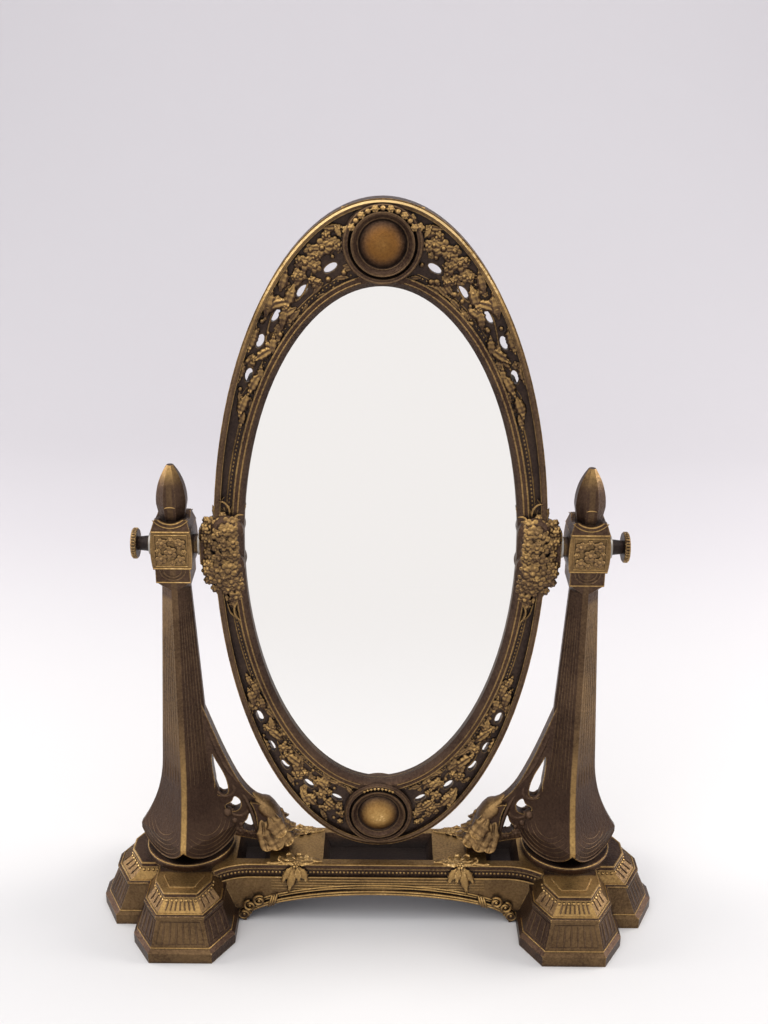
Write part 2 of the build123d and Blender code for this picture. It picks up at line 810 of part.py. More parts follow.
with BuildPart() as retaining_clips:
    with BuildSketch(face_plane(clip_back)):
        for angle in clip_angles:
            middle = clip_length / 2 - clip_overlap
            spot, normal = rabbet_spot(angle, middle)
            with Locations(Location(spot, normal)):
                RectangleRounded(clip_length, clip_width, clip_width / 3)
            with Locations(rabbet_spot(angle, clip_boss_radius)[0]):
                Circle(clip_screw_radius + hole_clearance, mode=Mode.SUBTRACT)
    extrude(amount=clip_thickness)
export(retaining_clips.part, "retaining_clips")

with BuildPart() as clip_screws:
    clip_screw_spots = [rabbet_spot(angle, clip_boss_radius)[0] for angle in clip_angles]
    with BuildSketch(face_plane(clip_back)):
        with Locations(*clip_screw_spots):
            Circle(clip_screw_radius)
    extrude(amount=clip_screw_length + clip_thickness)
    with BuildSketch(face_plane(clip_back)):
        with Locations(*clip_screw_spots):
            Circle(clip_head_radius)
    extrude(amount=-clip_head_height, taper=clip_head_taper)
    with BuildSketch(face_plane(clip_back + clip_head_height)):
        with Locations(*clip_screw_spots):
            Rectangle(2 * clip_head_radius, clip_head_height / 3)
    extrude(amount=clip_head_height / 2, mode=Mode.SUBTRACT)
export(clip_screws.part, "clip_screws")
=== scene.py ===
import math
import random
import bmesh
import bpy
from mathutils import Matrix, Vector


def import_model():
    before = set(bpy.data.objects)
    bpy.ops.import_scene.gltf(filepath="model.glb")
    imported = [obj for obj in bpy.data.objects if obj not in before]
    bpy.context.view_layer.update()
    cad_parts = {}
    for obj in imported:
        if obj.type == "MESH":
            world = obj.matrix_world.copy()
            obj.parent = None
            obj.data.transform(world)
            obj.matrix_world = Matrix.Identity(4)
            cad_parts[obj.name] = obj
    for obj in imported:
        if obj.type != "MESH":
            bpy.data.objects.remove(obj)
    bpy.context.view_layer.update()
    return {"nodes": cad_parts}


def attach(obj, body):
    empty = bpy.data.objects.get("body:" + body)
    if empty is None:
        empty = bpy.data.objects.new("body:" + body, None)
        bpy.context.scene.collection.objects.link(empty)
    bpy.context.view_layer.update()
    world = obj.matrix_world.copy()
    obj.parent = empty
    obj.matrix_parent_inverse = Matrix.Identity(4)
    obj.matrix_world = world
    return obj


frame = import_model()
mm = 0.001
random.seed(11)

# Sizes of the stand, the posts and the mirror in millimetres, the same as the solids'
stand = {
    "postX": 103.0, "deckZ": 35.5, "railY": 16.5, "bandY": 15.2, "crownY": 16.2,
    # how far each lobe reaches, its half width, and the depth and width of its cut corners
    "floorFront": (53.0, 27.0, 16.0, 10.5), "floorSide": (49.0, 23.0, 9.5, 18.0),
    "deckFront": (40.0, 13.0, 10.0, 5.5), "deckSide": (29.5, 15.5, 6.5, 11.0),
    "flareStart": 69.0, "flareEnd": 89.0, "flareRise": 7.0, "archSpan": 72.0, "archRise": 16.4,
}
post = {
    "topHalf": 7.2, "topZ": 193.25, "waistHalf": 12.8, "waistZ": 92.0, "tipHalf": 26.6, "tipZ": 51.0,
    "ridgeCut": 1.5, "discZ": 39.5, "stepZ": 198.25, "blockZ": 206.25, "pivotZ": 216.0, "blockTopZ": 225.75,
    "capZ": 231.75, "blockHalf": 9.6, "bulge": 0.7, "stepHalf": 8.7, "capLow": 9.9, "capHigh": 7.9,
    "scoopRadius": 10.0, "scoopLift": 8.2,
}
mirror = {
    "z": 213.0, "outer": (82.5, 172.5), "inner": (68.0, 132.7), "bandY": -3.0, "rimY": -5.5, "lipY": -4.8,
    "lipWidth": 6.0, "coveWidth": 2.6, "medallionZ": 152.3, "medallionR": 18.5,
    # the pierced holes as angle round the frame and share across the band
    "topHoles": ((71.2, 0.41), (60.2, 0.44), (49.7, 0.59), (42.5, 0.64), (35.2, 0.61)),
    "lowHoles": ((36.1, 0.67), (43.6, 0.74), (50.2, 0.70), (60.6, 0.57), (72.4, 0.46)),
}
front = Vector((0, -1, 0))
up = Vector((0, 0, 1))


def deselectAll():
    if bpy.context.object and bpy.context.object.mode != "OBJECT":
        bpy.ops.object.mode_set(mode="OBJECT")
    bpy.ops.object.select_all(action="DESELECT")


def makeActive(*objs):
    deselectAll()
    for obj in objs:
        obj.select_set(True)
    bpy.context.view_layer.objects.active = objs[0]


def pick(obj, rule):  # in edit mode, selects the vertices whose place fits the rule
    net = bmesh.from_edit_mesh(obj.data)
    for vert in net.verts:
        vert.select = rule(vert.co)
    net.select_flush(True)
    bmesh.update_edit_mesh(obj.data)


def shape(obj, *moves):  # each move is a rule for vertices and a shift or a scale for them
    makeActive(obj)
    bpy.ops.object.mode_set(mode="EDIT")
    for rule, shift, scale in moves:
        bpy.ops.mesh.select_all(action="DESELECT")
        pick(obj, rule)
        if scale:
            bpy.ops.transform.resize(value=scale)
        if shift:
            bpy.ops.transform.translate(value=shift)
    bpy.ops.object.mode_set(mode="OBJECT")


def settle(obj):  # place, turn and scale go into the mesh
    makeActive(obj)
    bpy.ops.object.transform_apply(location=True, rotation=True, scale=True)


def joined(copies, name):
    makeActive(*copies)
    if len(copies) > 1:
        bpy.ops.object.join()
    made = bpy.context.object
    made.name = name
    made.data.name = name
    settle(made)
    return made


def fused(copies, name, grain, smoothing=1):  # melts overlapping stamps into one cast surface
    piece = joined(copies, name)
    makeActive(piece)
    melt = piece.modifiers.new("melt", "REMESH")
    melt.mode = "VOXEL"
    melt.voxel_size = grain * mm
    bpy.ops.object.modifier_apply(modifier=melt.name)
    soften = piece.modifiers.new("soften", "SMOOTH")
    soften.factor = 0.5
    soften.iterations = smoothing
    bpy.ops.object.modifier_apply(modifier=soften.name)
    return piece


def makeBead():
    bpy.ops.mesh.primitive_uv_sphere_add(segments=8, ring_count=6, radius=1)
    bead = bpy.context.object
    bpy.ops.object.mode_set(mode="EDIT")
    bpy.ops.mesh.select_all(action="SELECT")
    bpy.ops.mesh.bisect(plane_co=(0, 0, -0.5), plane_no=(0, 0, 1), use_fill=True, clear_inner=True)
    bpy.ops.object.mode_set(mode="OBJECT")
    bead.name = "beadStamp"
    return bead


def makeStamp(segments, rings, radius, *moves):  # a sphere with its poles along X, shaped by moves
    bpy.ops.mesh.primitive_uv_sphere_add(
        segments=segments, ring_count=rings, radius=radius, rotation=(0, math.pi / 2, 0),
    )
    stamp = bpy.context.object
    settle(stamp)
    shape(stamp, *moves)
    return stamp


def everywhere(co):
    return True


def beyond(x):
    return lambda co: co.x > x


def before(x):
    return lambda co: co.x < x


def makeLeaf():  # base at the origin, tip one unit along X, face along Z
    return makeStamp(
        12, 15, 0.5,
        (everywhere, None, (1.0, 0.5, 0.36)),
        (everywhere, (0.5, 0, 0), None),
        (beyond(0.7), None, (1.0, 0.62, 1.0)),
        (beyond(0.84), None, (1.0, 0.7, 1.0)),
        (before(0.18), None, (1.0, 0.6, 1.0)),
        (lambda co: round(co.x * 11) % 2 == 0 and 0.2 < co.x < 0.86, None, (1.0, 0.84, 0.94)),
        (lambda co: abs(co.y) < 0.01 and co.z > 0 and 0.04 < co.x < 0.96, (0, 0, -0.05), None),
        (beyond(0.8), (0, 0, 0.05), None),
        (beyond(0.93), (0, 0, 0.05), None),
    )


def makePetal():  # a full round petal with a crease, base at the origin
    return makeStamp(
        12, 8, 0.5,
        (everywhere, None, (1.0, 0.94, 0.66)),
        (everywhere, (0.5, 0, 0), None),
        (before(0.3), None, (1.0, 0.7, 0.8)),
        (lambda co: co.z > 0.02 and abs(co.y) < 0.08 and 0.1 < co.x < 0.9, (0, 0, -0.08), None),
    )


def makeLobe():  # one fold of the standing leaf: ridged, with its tip rolled outwards
    return makeStamp(
        16, 14, 0.5,
        (everywhere, None, (1.0, 0.36, 0.22)),
        (everywhere, (0.5, 0, 0), None),
        (before(0.3), None, (1.0, 0.7, 0.9)),
        (lambda co: round(co.x * 9) % 2 == 0 and 0.2 < co.x < 0.8, None, (1.0, 0.88, 0.92)),
        (lambda co: abs(co.y) < 0.02 and co.z > 0 and 0.1 < co.x < 0.97, (0, 0, -0.05), None),
        (beyond(0.7), (0, 0, 0.05), (1.0, 1.05, 1.0)),
        (beyond(0.84), (0, 0, 0.07), (1.0, 1.05, 1.0)),
        (beyond(0.94), (-0.03, 0, 0.06), None),
    )


def makeBud():  # smooth bud, thinner towards its stalk
    return makeStamp(
        24, 16, 1,
        (before(-0.2), None, (1.0, 0.88, 0.9)),
        (before(-0.5), None, (1.0, 0.8, 0.85)),
        (before(-0.7), (-0.15, 0, 0), (1.0, 0.75, 0.8)),
    )


def basis(along, outward):
    up = Vector(outward).normalized()
    side = up.cross(Vector(along)).normalized()
    return Matrix((side.cross(up), side, up)).transposed().to_4x4()


def stamped(stamp, place, along, outward, size):
    # a copy of the stamp with its own mesh; place is in millimetres and size in one number or three
    copy = stamp.copy()
    copy.data = stamp.data.copy()
    bpy.context.collection.objects.link(copy)
    sizes = size if isinstance(size, tuple) else (size, size, size)
    scale = Matrix.Diagonal((sizes[0] * mm, sizes[1] * mm, sizes[2] * mm, 1.0))
    copy.matrix_world = Matrix.Translation(Vector(place) * mm) @ basis(along, outward) @ scale
    return copy


def makeRose():  # five round petals round a bead
    petal = makePetal()
    bead = makeBead()
    parts = []
    for step in range(5):
        angle = 2 * math.pi * step / 5
        out = Vector((math.cos(angle), math.sin(angle), 0))
        parts.append(stamped(
            petal, (out * 0.1 + Vector((0, 0, 0.06))) / mm,
            out + Vector((0, 0, 0.12)), Vector((0, 0, 1)) - out * 0.12, 0.8 / mm,
        ))
    parts.append(stamped(bead, Vector((0, 0, 0.24)) / mm, (1, 0, 0), (0, 0, 1), 0.3 / mm))
    for stamp in (petal, bead):
        bpy.data.objects.remove(stamp)
    return joined(parts, "roseStamp")


def makeBerries():  # a heap of seven berries
    bead = makeBead()
    parts = [stamped(bead, Vector((0, 0, 0.3)) / mm, (1, 0, 0), (0, 0, 1), 0.42 / mm)]
    for step in range(6):
        angle = 2 * math.pi * step / 6
        spot = Vector((0.62 * math.cos(angle), 0.62 * math.sin(angle), 0.06))
        parts.append(stamped(bead, spot / mm, (1, 0, 0), (0, 0, 1), 0.4 / mm))
    bpy.data.objects.remove(bead)
    return joined(parts, "berriesStamp")


def rod(points, radius, closed=False, ends=1.0, sides=1):
    # a round moulding along points in millimetres; ends below 1 thin its two ends
    line = bpy.data.curves.new("rod", "CURVE")
    line.dimensions = "3D"
    line.bevel_depth = radius * mm
    line.bevel_resolution = sides
    line.use_fill_caps = not closed
    run = line.splines.new("POLY")
    run.points.add(len(points) - 1)
    last = len(points) - 1
    for number, (point, spot) in enumerate(zip(run.points, points)):
        point.co = (*(Vector(spot) * mm), 1.0)
        edge = min(number, last - number) / max(1, last / 2)
        point.radius = 1.0 if closed else ends + (1.0 - ends) * min(1.0, edge * 2.0)
    run.use_cyclic_u = closed
    obj = bpy.data.objects.new("rod", line)
    bpy.context.collection.objects.link(obj)
    makeActive(obj)
    bpy.ops.object.convert(target="MESH")
    return bpy.context.object


def smoothPath(points, steps=6):  # Catmull-Rom run through given points
    spots = [Vector(spot) for spot in points]
    spots = [2 * spots[0] - spots[1]] + spots + [2 * spots[-1] - spots[-2]]
    run = []
    for one, two, three, four in zip(spots, spots[1:], spots[2:], spots[3:]):
        for step in range(steps):
            t = step / steps
            run.append(0.5 * (
                2 * two + (three - one) * t + (2 * one - 5 * two + 4 * three - four) * t**2
                + (3 * two - one - 3 * three + four) * t**3
            ))
    return run + [spots[-2]]


def alongPath(points, spacing, closed=False):  # evenly spaced places and directions along a line
    spots = [Vector(spot) for spot in points]
    if closed:
        spots.append(spots[0])
    lengths = [(b - a).length for a, b in zip(spots, spots[1:])]
    count = max(1, round(sum(lengths) / spacing))
    found = []
    for number in range(count):
        left = sum(lengths) * (number + 0.5) / count
        for start, end, length in zip(spots, spots[1:], lengths):
            if left <= length:
                found.append((start.lerp(end, left / length), (end - start).normalized()))
                break
            left -= length
    return found


class Ornament:  # collects the copies of one piece; flips holds -1 for each axis that its side mirrors
    def __init__(self, flips):
        self.flips = Vector(flips)
        self.copies = []

    def spot(self, place):  # upside down means about the middle of the frame
        flipped = Vector(place) * self.flips
        if self.flips.z < 0:
            flipped.z += 2 * mirror["z"]
        return flipped

    def rod(self, points, radius, **look):
        self.copies.append(rod([self.spot(place) for place in points], radius, **look))

    def put(self, stamp, place, outward, size, along=None):  # a stamp with no direction lies along X on each side
        way = (1, 0, 0) if along is None else Vector(along) * self.flips
        self.copies.append(stamped(stamps[stamp], self.spot(place), way, Vector(outward) * self.flips, size))


# Shader tools
class Value:  # wraps a socket so that masks are written as sums
    def __init__(self, paint, socket):
        self.paint = paint
        self.socket = socket

    def sum(self, operation, first, second=0.0):
        return self.paint.add("ShaderNodeMath", {"operation": operation}, {0: first, 1: second})

    def __add__(self, other):
        return self.sum("ADD", self, other)

    __radd__ = __add__

    def __mul__(self, other):
        return self.sum("MULTIPLY", self, other)

    __rmul__ = __mul__

    def __sub__(self, other):
        return self.sum("SUBTRACT", self, other)

    def __rsub__(self, other):
        return self.sum("SUBTRACT", other, self)

    def __neg__(self):
        return self * -1.0

    def larger(self, other):
        return self.sum("MAXIMUM", self, other)

    def smaller(self, other):
        return self.sum("MINIMUM", self, other)

    def unsigned(self):
        return self.sum("ABSOLUTE", self)

    def ramp(self, low, high):  # 0 below low, 1 above high, smooth between
        return self.paint.add(
            "ShaderNodeMapRange", {"interpolation_type": "SMOOTHSTEP"}, {0: self, 1: low, 2: high, 3: 0.0, 4: 1.0},
        )


class Paint:
    def __init__(self, name, kind=bpy.data.materials):
        self.material = kind.new(name)
        self.material.use_nodes = True
        self.tree = self.material.node_tree
        self.tree.nodes.clear()

    def add(self, kind, settings=None, sockets=None, out=0):  # gives the named or numbered output
        node = self.tree.nodes.new(kind)
        for key, value in (settings or {}).items():
            setattr(node, key, value)
        for key, value in (sockets or {}).items():
            if isinstance(value, Value):
                self.tree.links.new(value.socket, node.inputs[key])
            elif isinstance(value, tuple) and len(value) == 3 and node.inputs[key].type == "RGBA":
                node.inputs[key].default_value = (*value, 1.0)
            else:
                node.inputs[key].default_value = value
        return Value(self, node.outputs[out]) if node.outputs else None

    def mix(self, factor, first, second):
        return self.add("ShaderNodeMix", {"data_type": "RGBA"}, {0: factor, 6: first, 7: second}, 2)

    def place(self):
        return self.add("ShaderNodeTexCoord", out="Object")

    def noise(self, scale, detail=3.0, roughness=0.55):
        return self.add("ShaderNodeTexNoise", None, {
            "Vector": self.place(), "Scale": scale, "Detail": detail, "Roughness": roughness,
        })

    def occlusion(self, distance, inside):
        return self.add(
            "ShaderNodeAmbientOcclusion", {"samples": 6, "inside": inside, "only_local": inside},
            {"Distance": distance}, "AO",
        )

    def axis(self, number):  # place along one axis, in millimetres
        return self.add("ShaderNodeSeparateXYZ", None, {0: self.place()}, number) * (1 / mm)

    def facing(self, number):  # how far the surface faces along one axis
        return self.add("ShaderNodeSeparateXYZ", None, {0: self.add("ShaderNodeTexCoord", out="Normal")}, number)

    def between(self, value, low, high, blur=0.35):
        return value.ramp(low - blur, low + blur) * (1.0 - value.ramp(high - blur, high + blur))

    def distance(self, spot):  # from a spot given in millimetres
        return self.add("ShaderNodeVectorMath", {"operation": "DISTANCE"}, {
            0: self.place(), 1: tuple(part * mm for part in spot),
        }, "Value") * (1 / mm)

    def ray(self, name):  # whether the surface is met by this kind of ray
        return self.add("ShaderNodeLightPath", out=name)

    def toFront(self):  # how far the surface faces the front
        return -self.facing(1)

    def ahead(self):  # how far the place lies before the middle, in millimetres
        return -self.axis(1)

    def bump(self, height, strength, depth):
        return self.add("ShaderNodeBump", None, {"Strength": strength, "Distance": depth * mm, "Height": height})

    def finish(self, sockets):
        shader = self.add("ShaderNodeBsdfPrincipled", None, sockets)
        self.add("ShaderNodeOutputMaterial", None, {0: shader})
        return self.material


castLook = {
    "dirt": (0.010, 0.006, 0.006), "dark": (0.036, 0.020, 0.015), "brown": (0.150, 0.092, 0.058),
    "gold": (0.58, 0.36, 0.125), "pale": (0.90, 0.67, 0.34), "amber": (0.24, 0.105, 0.022),
    "patchScale": 42.0, "speckScale": 820.0, "grainScale": 900.0, "streakScale": 700.0, "grainDepth": 0.3,
    "edgeReach": 1.0, "hollowReach": 3.4, "metal": 0.94, "roughness": 0.4,
}


def castMetal(name, tone=0.45, edgeGold=0.6, goldMap=None, dirtMap=None, amberMap=None, shadeMap=None,
              grain=0.5, reed=False):
    # old bronze: dark in the hollows, brown on the flats, gold where hands and cloth have rubbed it; goldMap adds
    # painted highlights, and painted shade joins the dark of the hollows
    look = castLook
    paint = Paint(name)
    patches = paint.noise(look["patchScale"], 4.0, 0.6).ramp(0.34, 0.68)
    specks = paint.noise(look["speckScale"], 4.0, 0.65).ramp(0.26, 0.74)
    edge = (1.0 - paint.occlusion(look["edgeReach"] * mm, True)).ramp(0.16, 0.5)
    hollow = (1.0 - paint.occlusion(look["hollowReach"] * mm, False)).ramp(0.18, 0.72)
    base = paint.mix(patches * 0.35 + specks * 0.45 + (tone - 0.4), look["dark"], look["brown"])
    if shadeMap:
        base = paint.mix(shadeMap(paint), base, look["dark"])
    wearAndSheen = edge * (patches * 0.5 + specks * 0.9 + 0.05) * edgeGold
    # goldMap brings painted highlights into the rubbed gold
    if goldMap:
        wearAndSheen = wearAndSheen.larger(goldMap(paint) * (patches * 0.35 + specks * 0.4 + 0.32))
    wearAndSheen = (wearAndSheen * (1.0 - hollow * 0.8)).smaller(1.0)
    colour = base
    # painted highlight: amber sheen in the middle of each dome
    if amberMap:
        colour = paint.mix(amberMap(paint) * (specks * 0.3 + 0.6), colour, look["amber"])
    colour = paint.mix(wearAndSheen, colour, look["gold"])
    colour = paint.mix(wearAndSheen.ramp(0.75, 1.2), colour, look["pale"])
    # painted shade: the darkening map (painted shade in the pockets and at the necks, a darker sunk band) joins the
    # hollows' dark patina
    if dirtMap:
        hollow = hollow.larger(dirtMap(paint))
    colour = paint.mix(hollow * 0.85, colour, look["dirt"])
    grains = paint.noise(look["grainScale"], 3.0, 0.6) + specks * 0.6
    if reed:  # faint upright streaks on the shafts
        stretched = paint.add("ShaderNodeMapping", None, {"Vector": paint.place(), "Scale": (1.0, 1.0, 0.05)})
        streaks = paint.add("ShaderNodeTexNoise", None, {"Vector": stretched, "Scale": look["streakScale"]})
        grains = grains + streaks * 1.2
    return paint.finish({
        "Base Color": colour, "Metallic": look["metal"] - hollow * 0.5,
        "Roughness": look["roughness"] - wearAndSheen * 0.1 + patches * 0.1,
        "Normal": paint.bump(grains, grain, look["grainDepth"]),
    })


def plainMetal(name, colour, rough, scale):
    paint = Paint(name)
    scratches = paint.noise(scale, 4.0, 0.7)
    stain = paint.noise(60.0, 3.0, 0.6).ramp(0.4, 0.7)
    tint = paint.mix(stain * 0.6, colour, tuple(part * 0.45 for part in colour))
    return paint.finish({
        "Base Color": tint, "Metallic": 0.9, "Roughness": scratches * 0.2 + rough,
        "Normal": paint.bump(scratches, 0.1, 0.1),
    })


def silveredGlass(name):
    paint = Paint(name)
    cloud = paint.noise(30.0, 3.0, 0.5)
    age = paint.noise(180.0, 4.0, 0.6).ramp(0.72, 0.86)
    tint = paint.mix(age * 0.2, (0.95, 0.95, 0.94), (0.70, 0.68, 0.64))
    return paint.finish({"Base Color": tint, "Metallic": 1.0, "Roughness": cloud * 0.03 + 0.01})


def card(name):
    paint = Paint(name)
    fibre = paint.noise(700.0, 3.0, 0.7)
    tint = paint.mix(fibre, (0.30, 0.23, 0.15), (0.46, 0.37, 0.26))
    return paint.finish({"Base Color": tint, "Roughness": 0.9})


def backPaint(name):
    paint = Paint(name)
    brushed = paint.noise(420.0, 4.0, 0.7)
    wear = paint.noise(35.0, 5.0, 0.65).ramp(0.55, 0.75)
    tint = paint.mix(brushed, (0.045, 0.034, 0.026), (0.085, 0.066, 0.050))
    tint = paint.mix(wear * 0.4, tint, (0.16, 0.12, 0.085))
    return paint.finish({
        "Base Color": tint, "Metallic": 0.35, "Roughness": brushed * 0.2 + 0.45,
        "Normal": paint.bump(brushed, 0.15, 0.15),
    })


# Where the casting is rubbed or darkened, and where painted highlight and painted shade lie: heights, widths and
# distances in millimetres between which a mask rises, or between which it holds
masks = {
    "ridgeWidth": (1.0, 1.8), "ridgeFade": (46.0, 130.0), "ridgeFoot": (41.0, 44.0), "budTip": (246.0, 258.0),
    "shaftLow": (80.0, 130.0), "shaftHigh": (186.0, 190.0), "fanDark": (64.0, 112.0), "capDark": (228.0, 234.0),
    "frieze": (26.0, 32.4), "plate": (34.6, 40.0), "plateFront": (23.0, 25.0), "flats": (0.0, 25.0),
    "deck": (34.5, 35.2), "rail": (5.0, 27.5), "pocketFloor": (29.5, 34.5), "pocketSide": (11.5, 12.6),
    # stain: how far the painted amber sheen reaches from each dome's middle
    "stain": (5.0, 10.8), "lowDome": (1.0, 12.0), "topDome": (0.0, 6.0), "sunkBand": (3.05, 4.0),
    "relief": (3.2, 4.6), "rimTop": (290.0, 370.0), "neck": (119.0, 120.6),
}


def postWearAndSheen(paint):  # the ridges, brightest at their foot, the head's panel, the bud's tip, and a painted highlight on the outer faces
    x, z = paint.axis(0), paint.axis(2)
    fromRidge = (x.unsigned() - stand["postX"]).unsigned()
    ridge = (1.0 - fromRidge.ramp(*masks["ridgeWidth"])) * ((1.0 - z.ramp(*masks["ridgeFade"])) * 0.8 + 0.1)
    ridge = ridge * z.ramp(*masks["ridgeFoot"]) * paint.toFront().ramp(0.5, 0.8)
    panel = paint.between(z, post["blockZ"], post["blockTopZ"]) * paint.toFront().ramp(0.7, 0.9) * 0.42
    tip = z.ramp(*masks["budTip"]) * paint.toFront().ramp(0.2, 0.9) * 0.7
    # which way is outward: the shaft's outer faces get a painted highlight
    side = (x * 10.0).ramp(-1.0, 1.0) * 2.0 - 1.0
    shaft = z.ramp(*masks["shaftLow"]) * (1.0 - z.ramp(*masks["shaftHigh"]))
    return ridge.larger(panel).larger(tip).larger((paint.facing(0) * side).ramp(0.25, 0.6) * shaft * 0.26)


def fanShade(paint):  # the spread foot of each post is darker than its shaft, and so is the bud on top
    z = paint.axis(2)
    return ((1.0 - z.ramp(*masks["fanDark"])) * 0.5).larger(z.ramp(*masks["capDark"]) * 0.3)


def pedestalGold(paint):  # the frieze, the flats under it and the plate on the front lobes
    z = paint.axis(2)
    toFront = paint.toFront().ramp(0.55, 0.8)
    frieze = paint.between(z, *masks["frieze"]) * (toFront * 0.62 + 0.25)
    plate = paint.facing(2).ramp(0.8, 0.95) * paint.between(z, *masks["plate"])
    plate = plate * paint.ahead().ramp(*masks["plateFront"])
    return frieze.larger(plate * 0.7).larger(paint.between(z, *masks["flats"]) * toFront * 0.2)


def bridgeGold(paint):  # the top of the deck and the front of the rail
    deck = paint.facing(2).ramp(0.8, 0.95) * paint.axis(2).ramp(*masks["deck"]) * 0.8
    return deck.larger(paint.between(paint.axis(2), *masks["rail"]) * paint.toFront().ramp(0.7, 0.9) * 0.3)


def pocketShade(paint):  # painted shade inside the deck's pockets and under the bridge
    low = 1.0 - paint.axis(2).ramp(*masks["pocketFloor"])
    return low * (1.0 - paint.axis(1).unsigned().ramp(*masks["pocketSide"])) * 0.92


def fromDomes(paint, y):  # distances from the middles of the top and the low medallion
    return [paint.distance((0, y, mirror["z"] + sign * mirror["medallionZ"])) for sign in (1, -1)]


# painted highlight: amber sheen in the middle of each dome, fading outwards
def domeAmberSheen(paint):
    top, low = fromDomes(paint, -7.0)
    return 1.0 - top.smaller(low).ramp(*masks["stain"])


def domeHighlight(paint):  # painted highlight in the middle of each dome, more on the lower one
    top, low = fromDomes(paint, -9.0)
    return ((1.0 - low.ramp(*masks["lowDome"])) * 1.1).larger((1.0 - top.ramp(*masks["topDome"])) * 0.12)


def sunkBandDarkening(paint):  # the sunk floor of the band is darkened where it faces the front
    return (1.0 - paint.ahead().ramp(*masks["sunkBand"])) * paint.toFront().ramp(0.5, 0.9) * 0.5


def crestSheen(paint, low, high):  # painted highlight on the crowns of the ornament: what faces up and forward
    return (paint.facing(2) * 0.66 - paint.facing(1) * 0.75).ramp(low, high)


# painted highlight on the crowns of the band's relief, stronger on its raised parts
def reliefSheen(paint):
    return crestSheen(paint, 0.55, 0.98) * (paint.ahead().ramp(*masks["relief"]) * 0.75 + 0.15)


def rimTopSheen(paint):  # painted highlight: only the top of the outer moulding, where it faces up, is painted bright
    return paint.facing(2).ramp(-0.5, 0.5) * (paint.axis(2).ramp(*masks["rimTop"]) * 1.7 + 0.1)


def neckShade(paint):  # painted shade on the thumbscrews' necks, next to the posts
    return (1.0 - paint.axis(0).unsigned().ramp(*masks["neck"])) * 0.8


# painted highlight on the crowns of the lug flowers, in patches
def lugSheen(paint):
    patches = paint.noise(190.0, 3.0, 0.5).ramp(0.36, 0.62)
    return crestSheen(paint, 0.4, 1.0) * (patches * 0.6 + 0.4)


# painted highlight on what faces up and forward
def crestHighlight(low, high, share):
    return lambda paint: crestSheen(paint, low, high) * share


def topSheen(low, high, share):  # painted highlight on what faces up
    return lambda paint: paint.facing(2).ramp(low, high) * share


finishes = {
    "post": castMetal("postMetal", tone=0.4, edgeGold=0.75, goldMap=postWearAndSheen, shadeMap=fanShade, reed=True),
    "frame": castMetal("frameMetal", tone=0.3, edgeGold=0.6, goldMap=domeHighlight, dirtMap=sunkBandDarkening, amberMap=domeAmberSheen),
    "pedestal": castMetal("pedestalMetal", tone=0.3, edgeGold=0.95, goldMap=pedestalGold),
    "bridge": castMetal("bridgeMetal", tone=0.42, edgeGold=0.75, goldMap=bridgeGold, dirtMap=pocketShade),
    "relief": castMetal("bandReliefMetal", tone=0.42, edgeGold=0.5, goldMap=reliefSheen, grain=0.3),
    "lug": castMetal("lugFlowerMetal", tone=0.45, edgeGold=0.6, goldMap=lugSheen, grain=0.3),
    "goldLeaf": castMetal("goldLeafMetal", tone=0.6, edgeGold=0.9, goldMap=crestHighlight(0.1, 0.95, 0.9)),
    "leaf": castMetal("leafMetal", tone=0.62, edgeGold=0.75, goldMap=crestHighlight(0.3, 1.0, 0.5)),
    "lines": castMetal("ruledLineMetal", tone=0.6, edgeGold=0.35, goldMap=topSheen(-0.6, 0.8, 1.1)),
    "frameLines": castMetal("frameLineMetal", tone=0.5, edgeGold=0.5, goldMap=topSheen(-0.2, 0.9, 0.9)),
    "rim": castMetal("rimMetal", tone=0.5, edgeGold=0.2, goldMap=rimTopSheen),
    "faint": castMetal("faintLineMetal", tone=0.5, edgeGold=0.1),
    # the knob's neck is given painted shade
    "knob": castMetal("knobMetal", tone=0.2, edgeGold=1.2, dirtMap=neckShade),
    "steel": plainMetal("dullSteel", (0.42, 0.40, 0.37), 0.35, 500.0),
    "glass": silveredGlass("silveredGlass"),
    "card": card("backingCard"),
    "plate": backPaint("backPlatePaint"),
}
nodeFinishes = {
    "pedestal": "pedestal", "bridge": "bridge", "post": "post", "finial": "post", "thumbscrew": "knob",
    "mirror_frame": "frame", "mirror_glass": "glass", "backing_pad": "card", "back_plate": "plate",
}
for nodeName, node in frame["nodes"].items():
    key = nodeName.replace("left_", "").replace("right_", "")
    for slotOfNode in node.material_slots:
        slotOfNode.material = finishes[nodeFinishes.get(key, "steel")]
print("finishes ready")


sides = (("right", (1, 1, 1)), ("left", (-1, 1, 1)))


def addPiece(name, body, finish, maker, *details, flips=(1, 1, 1), sharp=40, grain=0.0):
    work = Ornament(flips)
    maker(work, *details)
    piece = fused(work.copies, name, grain) if grain else joined(work.copies, name)
    piece.data.materials.clear()
    piece.data.materials.append(finishes[finish])
    makeActive(piece)
    bpy.ops.object.shade_smooth_by_angle(angle=math.radians(sharp))
    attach(piece, body)
    print(name, len(piece.data.polygons), "faces")
    return piece


stamps = {
    "bead": makeBead(), "leaf": makeLeaf(), "rose": makeRose(),
    "berries": makeBerries(), "lobe": makeLobe(), "bud": makeBud(),
}
for stampName, stampObject in stamps.items():
    stampObject.name = stampName + "Stamp"
print("stamps ready")


